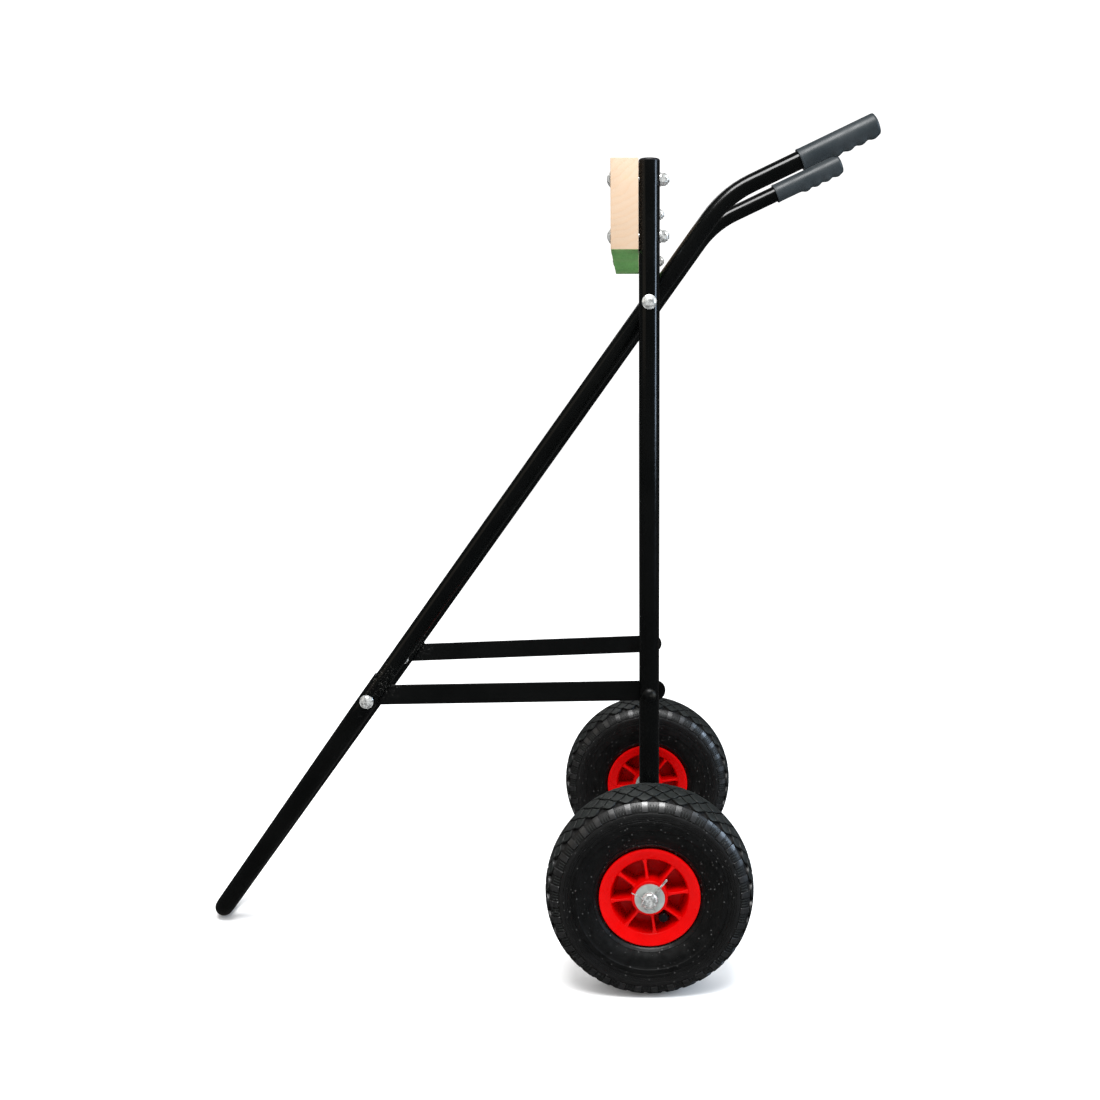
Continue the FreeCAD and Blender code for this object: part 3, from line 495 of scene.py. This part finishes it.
def scale_map(top, side_run, tip, phase, lens=False):
    """Maps the unit square on one scale of the tread. Its corners are the top, two sides and the tip.
    A lens has two rounded ends, and any other scale has a top shaped by its neighbours' edges."""
    def upper(t, sign):
        if lens:
            return Vector((scale_edge(top, side_run, t), phase + sign * t / 2))
        return Vector((scale_edge(side_run, top, 1 - t), phase + sign * t / 2))

    def lower(t, sign):
        return Vector((scale_edge(tip, side_run, 1 - t), phase + sign * (1 - t) / 2))

    def point(u, v):
        edges = upper(u, 1) * (1 - v) + lower(u, -1) * v + upper(v, -1) * (1 - u) + lower(v, 1) * u
        corners = (upper(0, 1) * (1 - u) * (1 - v) + upper(1, 1) * u * (1 - v)
                   + upper(1, -1) * (1 - u) * v + lower(1, 1) * u * v)
        return edges - corners
    return point


def bar_map(start, end, phase, half_wide):
    """Maps the unit square on a radial bar of the shoulder."""
    def point(u, v):
        return Vector((start + (end - start) * u, phase + half_wide * (2 * v - 1)))
    return point


def tread_block(shell, put, place_on, lift, depth, margin, steps, finish):
    """One raised rubber block with a small chamfer and sloping sides."""
    inner = [margin * 1.6 + (1 - margin * 3.2) * step / steps for step in range(steps + 1)]
    shares = [margin] + inner + [1 - margin]

    def at(u, v, level):
        run, phase = place_on(u, v)
        radius, out = SKIN.at(run, level)
        return put(radius, math.pi / 2 + (phase + TREAD_TURN) * PITCH_ANGLE, out)

    last = len(shares) - 1
    rows = [[at(u, v, lift - (BLOCK_CHAMFER if i in (0, last) or j in (0, last) else 0.0))
             for j, v in enumerate(shares)] for i, u in enumerate(shares)]
    first, wide = shell.grid(rows, finish=finish), len(shares)
    around = ([(0, j) for j in range(last)] + [(i, last) for i in range(last)]
              + [(last, j) for j in range(last, 0, -1)] + [(i, 0) for i in range(last, 0, -1)])
    root = len(shell.points)
    spread = margin * 0.55

    def widened(share):
        return spread if share == margin else 1 - spread if share == 1 - margin else share

    for i, j in around:
        shell.points.append(at(widened(shares[i]), widened(shares[j]), lift - depth))
    count = len(around)
    for k, (i, j) in enumerate(around):
        following = around[(k + 1) % count]
        shell.face((first + i * wide + j, root + k, root + (k + 1) % count,
                    first + following[0] * wide + following[1]))
    shell.face(range(root, root + count))


def carcass_outline():
    """The closed section of the tyre without its blocks, as (radius, way out)."""
    groove = [(-0.5, 0.0), (-0.3, -0.45), (0.3, -0.45), (0.5, 0.0)]
    levels = [(run, -TREAD_DEPTH) for run in range(0, 34, 3)]
    levels += [(34.4, -3.0), (35.6, -LUG_LIFT)]
    levels += [(run, -LUG_LIFT) for run in range(39, 50, 3)]
    levels += [(50.2, -LUG_LIFT), (51.0, -0.2), (51.6, 0.0), (SKIN.run_at(109.0), 0.0)]
    for radius in (106.9, 103.7, 100.4, 97.1):
        levels += [(SKIN.run_at(radius) + step, level) for step, level in groove]
    levels += [(SKIN.run_at(93.5), 0.0), (SKIN.run_at(90.6), 0.0), (SKIN.run_at(90.6) + 1.0, -0.6)]
    levels += [(SKIN.run_at(radius), -0.6) for radius in (86, 83, 80, 77, 74, 71.5)]
    levels += [(SKIN.run_at(70.0), -0.45), (SKIN.run_at(69.2), 0.1), (SKIN.run_at(67.6), 0.1),
               (SKIN.run_at(66.6), -0.3), (SKIN.runs[-1] - 0.6, -0.3)]
    outer = [SKIN.at(run, lift) for run, lift in levels]
    bead = [(63.2, 30.6), (62.9, 28.4), (53.6, 28.2), (52.7, 27.0), (52.7, 20.0), (55.5, 19.0)]
    wall = [SKIN.at(SKIN.run_at(radius), -6.0) for radius in (70.0, 80.0, 90.0, 100.0, 110.0)]
    wall += [SKIN.at(run, -9.0) for run in (44.0, 36.0, 24.0, 12.0)]
    half = outer + bead + wall
    inner_side = [(radius, -out) for radius, out in reversed(half[1:])]
    return half + [(SKIN.at(0.0, -9.0)[0], 0.0)] + inner_side


def nub(shell, put, flank, dice):
    """A small moulding nub at a random place on one sidewall."""
    run = SKIN.run_at(dice.uniform(72.0, 89.0))
    size = dice.uniform(0.35, 0.85)
    radius, out = SKIN.at(flank * run, -0.75)
    angle = dice.uniform(0, 2 * math.pi)
    around = [2 * math.pi * step / 7 for step in range(7)]
    shell.tube([[put(radius + size * math.cos(a) * math.cos(b),
                     angle + size * math.sin(a) * math.cos(b) / radius,
                     out + flank * size * math.sin(b)) for a in around]
                for b in (-0.4, 0.4, 1.0, 1.5)])


def tyre(side, word):
    """A grooved carcass with scales on the crown, lugs and fine bars on the shoulders, and nubs."""
    put = wheel_place(side, word)
    shell = Shell()
    steps = 4 * PITCHES
    outline = carcass_outline()
    shell.grid([[put(radius, 2 * math.pi * step / steps, out) for radius, out in outline]
                for step in range(steps)], round_rows=True, round_columns=True)
    centre, first, second, tip = SCALE_ROWS
    for number in range(PITCHES):
        tread_block(shell, put, scale_map(-first, centre, first, number, lens=True),
                    0.0, TREAD_DEPTH + 0.4, 0.060, 8, 1)
        for flank in (1, -1):
            for place_on in (scale_map(centre, flank * first, flank * second, number + 0.5),
                             scale_map(flank * first, flank * second, flank * tip, number)):
                tread_block(shell, put, place_on, 0.0, TREAD_DEPTH + 0.4, 0.060, 8, 1)
            tread_block(shell, put, bar_map(flank * LUG_START, flank * LUG_END, number, 0.21),
                        0.0, LUG_LIFT + 0.5, 0.06, 6, 2)
            for offset in (-0.17, 0.0, 0.17):
                tread_block(shell, put, bar_map(flank * (LUG_START + 3.4), flank * LUG_END,
                                                number + 0.5 + offset, 0.038),
                            -0.55, LUG_LIFT, 0.12, 3, 1)
    dice = random.Random(7 if side < 0 else 8)
    for flank in (1, -1):
        for _ in range(NUBS):
            nub(shell, put, flank, dice)
    shell.piece("tyre_%s_tread" % word, "wheel_" + word, "tyre", [TYRE, TREAD, LUG], 32.0,
                ["tyre_" + word])


HUB_R, WELL_R, RIM_R, RIM_HALF, DISH = 22.3, 47.0, 62.4, 34.6, 5.0


def rim_outline():
    """The closed section of the rim without its ribs, as (radius, way out)."""
    face = RIM_HALF
    half = [(14.5, 9.0, 0), (14.5, 35.0, 0.6), (HUB_R, 35.0, 1.6), (HUB_R + 0.8, 3.0, 4.0),
            (WELL_R - 4.0, 3.0, 4.0), (WELL_R + 0.8, face - DISH, 4.0), (59.0, face - 0.4, 3.5),
            (61.0, face, 0.9), (RIM_R, face - 0.4, 0.8), (RIM_R, 29.6, 1.2), (53.6, 28.4, 1.0),
            (52.5, 26.5, 0.0)]
    other = [(radius, -out, bend) for radius, out, bend in reversed(half)]
    return rounded(half + other + [(11.5, -9.0, 0), (11.5, 9.0, 0)], 5, closed=True)


def rib(shell, put, angle):
    """A rib from the hub to the barrel, through the disc, thicker at both ends."""
    rings = []
    reach = [(HUB_R - 2.0, 3.4), (HUB_R + 0.8, 2.9), (HUB_R + 2.6, 2.1), (HUB_R + 5.5, 1.7),
             (34.0, 1.6), (WELL_R - 6.0, 1.7), (WELL_R - 2.8, 2.1), (WELL_R - 0.6, 2.9),
             (WELL_R + 1.5, 3.4)]
    for radius, thick in reach:
        high = 30.4 - 1.4 * (radius - HUB_R) / (WELL_R - HUB_R)
        edge = rounded([(thick, high, 1.1), (-thick, high, 1.1), (-thick - 0.4, 0, 0),
                        (-thick, -high, 1.1), (thick, -high, 1.1), (thick + 0.4, 0, 0)], 4, True)
        rings.append([put(math.hypot(radius, across), angle + math.atan2(across, radius), out)
                      for across, out in edge])
    shell.tube(rings)


RIB_TURN = math.radians(7.5)
VALVE_ANGLE = math.radians(-59.5)
VALVE_R, VALVE_ROOT = 33.2, 9.0


def rim(side, word):
    """Hub, disc and barrel turned in one, with eight ribs on both faces of the disc."""
    put = wheel_place(side, word)
    shell = Shell()
    outline, steps = rim_outline(), 120
    shell.grid([[put(radius, 2 * math.pi * step / steps, out) for radius, out in outline]
                for step in range(steps)], round_rows=True, round_columns=True)
    for number in range(8):
        rib(shell, put, RIB_TURN + number * math.pi / 4)
    shell.piece("rim_%s_moulding" % word, "wheel_" + word, "rim_plastic", [RED], 38.0,
                ["rim_" + word])


def valve(side, word):
    """A stem that bends outward in the rim's well, and its ribbed cap."""
    put = wheel_place(side, word)
    shell = Shell()
    stem = [put(radius, VALVE_ANGLE, out)
            for radius, out in ((52.4, VALVE_ROOT), (VALVE_R, VALVE_ROOT), (VALVE_R, 24.0))]
    wire(shell, bent(stem, 0.006, 8), 0.0036, 20)
    shell.piece("valve_stem_%s_bent" % word, "wheel_" + word, "inner_rubber", [TUBE_RUBBER], 40.0,
                ["valve_stem_" + word])

    def round_stem(size, ridge, out, a):
        along, across = VALVE_R + size * ridge * math.cos(a), size * ridge * math.sin(a)
        return put(math.hypot(along, across), VALVE_ANGLE + math.atan2(across, along), out)

    cap = Shell()
    cap.tube([[round_stem(size, 1.0 - (0.04 if step % 2 and out < 26.5 else 0.0), out,
                          2 * math.pi * step / 48) for step in range(48)]
              for out, size in ((18.4, 5.4), (18.9, 6.1), (25.8, 6.1), (26.8, 5.9), (27.5, 5.2),
                                (27.9, 3.6), (28.0, 1.4))])
    cap.piece("valve_cap_%s_ribbed" % word, "wheel_" + word, "black_plastic", [CAP_PLASTIC], 30.0,
              ["valve_cap_" + word])


for word, side in SIDES:
    tyre(side, word)
    rim(side, word)
    valve(side, word)


# ---------------------------------------------------------------- grips

GRIP_R, GRIP_LONG, LOBE_PITCH, LOBES = 13.0, 102.0, 16.0, 4
GRIP_BORE, GRIP_BOTTOM, GRIP_STEPS = 11.05, 3.1, 56   # the bottom closes the grip's far end
GRIP_PLAY = 0.2   # the tube's end stops short of the bottom


def grip_ring(along):
    """The outline of a grip at a distance from its mouth, as (across, up) pairs."""
    keel_start = GRIP_LONG - 2.0 - LOBES * LOBE_PITCH
    wave = 0.5 - 0.5 * math.cos(2 * math.pi * (along - keel_start) / LOBE_PITCH)
    fade = min(1.0, max(0.0, (along - keel_start + 4.0) / 8.0))
    drop = fade * (0.9 + 2.3 * wave ** 0.7)
    if along < keel_start:
        drop = fade * 0.9
    lip = 0.55 * max(0.0, 1.0 - abs(along - 1.4) / 1.6)
    squeeze = 1.0 - 0.30 * max(0.0, (along - GRIP_LONG + 2.4) / 2.4) ** 2
    ring = []
    for step in range(GRIP_STEPS):
        angle = 2 * math.pi * step / GRIP_STEPS
        below = max(0.0, -math.sin(angle))
        bulge = drop * min(1.0, (below / 0.88) ** 7) if below else 0.0
        radius = (GRIP_R + lip + bulge) * squeeze
        ring.append((radius * math.cos(angle), radius * math.sin(angle)))
    return ring


def grip(side, word):
    """A rubber grip on the upper end of a handle tube, closed at its end, with finger grooves."""
    low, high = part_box("handle_tube_" + word)
    outer = high.y if side > 0 else low.y
    end = Vector((high.x - HANDLE_R * math.sin(GRIP_SLOPE), outer - side * HANDLE_R,
                  high.z - HANDLE_R * math.cos(GRIP_SLOPE)))
    ahead = Vector((math.cos(GRIP_SLOPE), side * math.sin(GRIP_SLOPE) * math.sin(SPLAY),
                    math.sin(GRIP_SLOPE) * math.cos(SPLAY)))
    across = Vector((0, math.cos(SPLAY), -side * math.sin(SPLAY)))
    up = ahead.cross(across)
    up = up if up.z > 0 else -up
    mouth = end - ahead * (GRIP_LONG - GRIP_BOTTOM - GRIP_PLAY) * MM
    shell = Shell()
    stations = [0.0, 0.5, 1.4, 2.4, 3.2] + [4.0 + 1.6 * step for step in range(60)]
    stations += [GRIP_LONG - 1.6, GRIP_LONG - 0.8, GRIP_LONG - 0.2, GRIP_LONG]
    stations = sorted(s for s in stations if s <= GRIP_LONG)
    outside = [[mouth + (ahead * along + across * x + up * z) * MM for x, z in grip_ring(along)]
               for along in stations]
    bore = [(GRIP_LONG - GRIP_BOTTOM, GRIP_BORE), (0.4, GRIP_BORE), (0.0, GRIP_BORE + 0.45)]
    around = [2 * math.pi * step / GRIP_STEPS for step in range(GRIP_STEPS)]
    inside = [[mouth + (ahead * along + (across * math.cos(a) + up * math.sin(a)) * radius) * MM
               for a in around] for along, radius in bore]
    shell.tube(inside + outside)
    shell.piece("grip_%s_moulded" % word, "frame", "grip", [GRIP], 50.0, ["grip_" + word])


for word, side in SIDES:
    grip(side, word)


# ---------------------------------------------------------------- board

def motor_board():
    """The sawn board with eased, slightly uneven edges. Its bolts' heads and nuts hide their holes."""
    shape = bmesh.new()
    bmesh.ops.create_cube(shape, size=1.0)
    middle, spread = (board_low + board_high) / 2, board_high - board_low
    for vertex in shape.verts:
        vertex.co = Vector([middle[i] + vertex.co[i] * spread[i] for i in range(3)])
    bmesh.ops.subdivide_edges(shape, edges=[e for e in shape.edges
                                            if abs(e.verts[0].co.y - e.verts[1].co.y) > 0.1], cuts=40)
    corners = [e for e in shape.edges if len(e.link_faces) == 2
               and e.calc_face_angle(0) > math.radians(40)]
    bmesh.ops.bevel(shape, geom=corners, offset=0.0011, segments=3, affect="EDGES", profile=0.5)
    dice = random.Random(3)
    waves = [(dice.uniform(20, 90), dice.uniform(0, 6), dice.choice((0, 2))) for _ in range(6)]
    for vertex in shape.verts:
        for rate, start, axis in waves:
            inward = middle[axis] - vertex.co[axis]
            depth = 0.00008 * (1 + math.sin(rate * vertex.co.y + start))
            vertex.co[axis] += math.copysign(depth, inward) if abs(inward) > 0.01 else 0.0
    mesh = bpy.data.meshes.new("motor_board_sawn")
    bmesh.ops.recalc_face_normals(shape, faces=shape.faces)
    shape.to_mesh(mesh)
    shape.free()
    mesh.materials.append(WOOD)
    mesh.shade_smooth()
    mesh.set_sharp_from_angle(angle=math.radians(40))
    item = bpy.data.objects.new("motor_board_sawn", mesh)
    bpy.context.scene.collection.objects.link(item)
    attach(item, "frame")
    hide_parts("motor_board")


motor_board()


# ---------------------------------------------------------------- fasteners

HEAD_R, HEAD_HIGH, SHANK_R = 9.0, 4.2, 4.0
THREAD_TURNS, THREAD_PITCH, THREAD_DEPTH, THREAD_LEAD = 9, 1.25, 0.55, 0.7
NUT_FLAT, NUT_HEX_HIGH, NUT_HIGH, NUT_BORE, COLLAR_R = 6.5, 5.8, 8.0, 4.15, 5.9
NUT_STEPS = 48


def long_axis(box):
    size = box[1] - box[0]
    return max(range(3), key=lambda axis: size[axis])


def domed_bolt(shell, box, toward):
    """A bolt whose domed head is at the end of its box that lies toward a direction."""
    low, high = box
    axis = long_axis(box)
    way = Vector((0, 0, 0))
    way[axis] = 1.0 if toward > 0 else -1.0
    top = (low + high) / 2
    top[axis] = high[axis] if toward > 0 else low[axis]
    length = (high[axis] - low[axis]) / MM
    ball = (HEAD_R ** 2 + HEAD_HIGH ** 2) / (2 * HEAD_HIGH)
    dome = [(0.02, 0.0)]
    for step in range(1, 8):
        angle = math.asin(HEAD_R / ball) * step / 8
        dome.append((ball * math.sin(angle), -ball * (1 - math.cos(angle))))
    dome += [(HEAD_R - 0.25, -HEAD_HIGH + 0.75), (HEAD_R, -HEAD_HIGH + 0.45),
             (HEAD_R - 0.1, -HEAD_HIGH), (SHANK_R, -HEAD_HIGH)]
    threads = []
    for number in range(THREAD_TURNS):
        height = -length + THREAD_LEAD + THREAD_PITCH * (THREAD_TURNS - number)
        threads += [(SHANK_R, height), (SHANK_R - THREAD_DEPTH, height - THREAD_PITCH / 2)]
    threads += [(SHANK_R, -length + THREAD_LEAD), (SHANK_R - 0.8, -length)]
    lathe(shell, dome + threads, top, way, 40)


def lock_nut(shell, box, toward):
    """A hexagon nut with chamfered corners and a nylon collar, its seat away from the direction."""
    low, high = box
    sizes = high - low
    axis = min(range(3), key=lambda i: sizes[i])
    way = Vector((0, 0, 0))
    way[axis] = 1.0 if toward > 0 else -1.0
    seat = (low + high) / 2
    seat[axis] = low[axis] if toward > 0 else high[axis]
    across, up = frame_along(way)
    angles = [2 * math.pi * step / NUT_STEPS for step in range(NUT_STEPS)]
    rings = []
    for height, cut in ((0.0, 0.86), (0.7, 1.0), (NUT_HEX_HIGH - 0.8, 1.0), (NUT_HEX_HIGH, 0.88)):
        ring = []
        for angle in angles:
            inside = (angle + math.pi / 6) % (math.pi / 3) - math.pi / 6
            hexagon = NUT_FLAT / math.cos(inside)
            ring.append(min(hexagon, NUT_FLAT / math.cos(math.pi / 6) * cut))
        rings.append((height, ring))
    collar = [(NUT_HEX_HIGH, COLLAR_R), (7.2, COLLAR_R), (7.8, 5.5), (NUT_HIGH, 5.0)]
    bore = [(NUT_HIGH, NUT_BORE), (0.0, NUT_BORE)]
    rings += [(height, [radius] * NUT_STEPS) for height, radius in collar + bore]
    rows = [[seat + (way * height + (across * math.cos(angle) + up * math.sin(angle)) * radius) * MM
             for angle, radius in zip(angles, ring)] for height, ring in rings]
    first = len(shell.points)
    shell.grid(rows, round_rows=True, round_columns=True)
    nylon_row = len(rows) - 3
    for index in range(len(shell.faces) - NUT_STEPS * len(rows), len(shell.faces)):
        if (min(shell.faces[index]) - first) // NUT_STEPS == nylon_row:
            shell.finish[index] = 1


def fasteners(kind, finish, slot):
    """The bolts and nuts of one kind, each at the place of its CAD solid."""
    for word, maker in (("bolts", domed_bolt), ("nuts", lock_nut)):
        node = "%s_%s" % (kind, word)
        shell = Shell()
        for box in solids(node):
            middle = (box[0] + box[1]) / 2
            outward = -1 if kind == "board" else (1 if middle.y > 0 else -1)
            maker(shell, box, outward if word == "bolts" else -outward)
        finishes = [finish] if word == "bolts" else [BRIGHT, NYLON]
        shell.piece(node + "_turned", "frame", slot if word == "bolts" else "zinc", finishes, 28.0,
                    [node])


for kind, finish, slot in (("board", BRIGHT, "zinc"), ("pivot", BRIGHT, "zinc"),
                           ("leg", BRIGHT, "zinc"), ("brace", BLACK_STEEL, "black_steel")):
    fasteners(kind, finish, slot)


# ---------------------------------------------------------------- split pins

PIN_TURN = math.radians(51.0)
PIN_OUT, PIN_R, PIN_BEND = 0.0027, 0.00065, 0.0012   # past the washer, wire radius, inner bend


def split_pins():
    """Doubled wire through each end of the axle, one leg bent over the axle's end and one under it.
    Points are along X, up and outward from the pin's crossing with the axle."""
    shell = Shell()
    washer_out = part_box("outer_washers")[1].y
    ray = Vector((math.cos(PIN_TURN), 0, math.sin(PIN_TURN)))
    square = Vector((-math.sin(PIN_TURN), 0, math.cos(PIN_TURN)))

    def doubled(along, across):
        return ray * along + square * across

    line = [Vector((-21.9, 5.5, 11.0)), Vector((-6.5, 7.4, 4.0)), Vector((-9.6, 6.3, -2.0)),
            Vector((-10.5, 3.5, -6.0)), doubled(-12.0, 0.7), doubled(32.2, 0.7), doubled(33.4, 0.0),
            doubled(32.2, -0.7), doubled(-12.5, -0.7), Vector((-2.5, 0.8, -13.5)),
            Vector((6.5, 2.2, -11.8))]
    for side in (-1, 1):
        middle = Vector((AXLE.x, side * (washer_out + PIN_OUT), AXLE.z))
        loop = [middle + Vector((point.x, side * point.y, point.z)) * MM for point in line]
        wire(shell, bent(loop, PIN_BEND, 5), PIN_R, 10)
    shell.piece("split_pins_bent", "frame", "zinc", [BRIGHT], 50.0, ["split_pins"])


split_pins()


# ---------------------------------------------------------------- welds

WELD_R, WELD_PROUD, WELD_RIPPLES, WELD_STEPS = 0.0019, 0.0004, 26, 96


def bead(shell, path, radius, ripples):
    """A rippled rod that thins out at both ends."""
    def size(share):
        ends = min(1.0, share * 8, (1 - share) * 8)
        return radius * (0.35 + 0.65 * ends) * (1 + 0.10 * math.sin(share * ripples * 2 * math.pi))
    wire(shell, path, size, 10)


def welds():
    """Weld beads where the uprights sit on the axle tube."""
    shell = Shell()
    tube_low, tube_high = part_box("axle_tube")
    saddle = (tube_high.z - tube_low.z) / 2
    for side in (-1, 1):
        ring = []
        for step in range(WELD_STEPS + 1):
            angle = 2 * math.pi * step / WELD_STEPS
            x, y = TUBE_R * math.cos(angle), TUBE_R * math.sin(angle)
            ring.append(Vector((AXLE.x + x, side * UPRIGHT_Y + y,
                                AXLE.z + math.sqrt(max(saddle ** 2 - x * x, 0.0)) + WELD_PROUD)))
        bead(shell, ring, WELD_R, WELD_RIPPLES)
    shell.piece("upright_welds", "frame", "frame_paint", [PAINT], 60.0)


welds()


# ---------------------------------------------------------------- CAD nodes that stay

KEPT = {
    "upright": PAINT, "handle_tube": PAINT, "leg_tube": PAINT, "brace": FLAT_PAINT,
    "axle_tube": PAINT, "upright_plug": PLUG, "axle": BRIGHT, "outer_washers": DULL,
    "inner_washers": DULL, "board_washers": BRIGHT, "pivot_washers": BRIGHT, "leg_washers": BRIGHT,
    "brace_washers": BRIGHT, "hub_bearings": BEARING, "inner_tube": TUBE_RUBBER,
}


def dress(name, item):
    """Gives a CAD node the finish of its longest matching name."""
    key = max((key for key in KEPT if name.startswith(key)), key=len)
    item.data.materials.clear()
    item.data.materials.append(KEPT[key])


for name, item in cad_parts.items():
    if not item.hide_render and any(name.startswith(key) for key in KEPT):
        dress(name, item)


# ---------------------------------------------------------------- stage, light and camera

ROOM_LIGHT, ROOM_REFLECTED = 1.15, 0.05


def floor():
    """A matt white floor that doesn't show in reflections."""
    mesh = bpy.data.meshes.new("floor")
    reach = 30.0
    mesh.from_pydata([(-reach, -reach, 0), (reach, -reach, 0), (reach, reach, 0), (-reach, reach, 0)],
                     [], [(0, 1, 2, 3)])
    look = Finish("floor", 0.85, Specular_IOR_Level=0.0)
    look.to("Base Color", look.ramp(look.noise(1.5, 2.0), (0.4, (0.915, 0.915, 0.915)),
                                    (0.6, (0.920, 0.920, 0.920))))
    mesh.materials.append(look.material)
    item = bpy.data.objects.new("floor", mesh)
    item.visible_glossy = False
    bpy.context.scene.collection.objects.link(item)


def softbox(name, at, aim, wide, tall, watts, tint=(1, 1, 1)):
    """A rectangular light that faces a point."""
    light = bpy.data.lights.new(name, "AREA")
    light.shape, light.size, light.size_y = "RECTANGLE", wide, tall
    light.energy, light.color = watts, tint
    item = bpy.data.objects.new(name, light)
    item.location = at
    item.rotation_euler = (Vector(aim) - Vector(at)).to_track_quat("-Z", "Y").to_euler()
    bpy.context.scene.collection.objects.link(item)


def surroundings():
    """An even white room. Its reflections are dimmer than its light, as with black flags round a set."""
    world = bpy.data.worlds.new("room")
    world.use_nodes = True
    nodes, links = world.node_tree.nodes, world.node_tree.links
    paths = nodes.new("ShaderNodeLightPath")
    strength = nodes.new("ShaderNodeMapRange")
    strength.inputs["To Min"].default_value = ROOM_LIGHT
    strength.inputs["To Max"].default_value = ROOM_REFLECTED
    links.new(paths.outputs["Is Glossy Ray"], strength.inputs["Value"])
    links.new(strength.outputs[0], nodes["Background"].inputs["Strength"])
    nodes["Background"].inputs["Color"].default_value = (1, 1, 1, 1)
    world.cycles.sampling_method = "NONE"
    bpy.context.scene.world = world


def camera():
    """A view of the left side from table height, looking a little down, framed off centre."""
    eye = bpy.data.cameras.new("camera")
    eye.lens, eye.sensor_width = 42.4, 36.0
    eye.shift_x, eye.shift_y = -0.0783, 0.0250
    item = bpy.data.objects.new("camera", eye)
    item.location = (AXLE.x - 0.0119, -1.771, 0.755)
    pitch, yaw, roll = 0.1499, -0.0028, 0.0013
    item.rotation_euler = (Matrix.Rotation(-yaw, 3, "Z") @ Matrix.Rotation(math.pi / 2 - pitch, 3, "X")
                           @ Matrix.Rotation(-roll, 3, "Z")).to_euler()
    bpy.context.scene.collection.objects.link(item)
    bpy.context.scene.camera = item


floor()
softbox("overhead", (0.1, -1.3, 2.7), (0.1, 0.0, 0.5), 1.7, 1.0, 105.0)
softbox("right_side", (2.6, -0.75, 1.30), (0.1, 0.0, 0.85), 0.55, 1.5, 38.0, (0.62, 0.79, 1.0))
softbox("left_fill", (-2.4, -1.4, 1.6), (0.0, 0.0, 0.6), 1.6, 1.6, 3.0, (1.0, 0.84, 0.66))
softbox("rear_fill", (-0.9, 2.3, 2.6), (0.0, 0.0, 0.5), 1.4, 1.4, 14.0)
surroundings()
camera()
bpy.context.scene.view_settings.view_transform = "Standard"
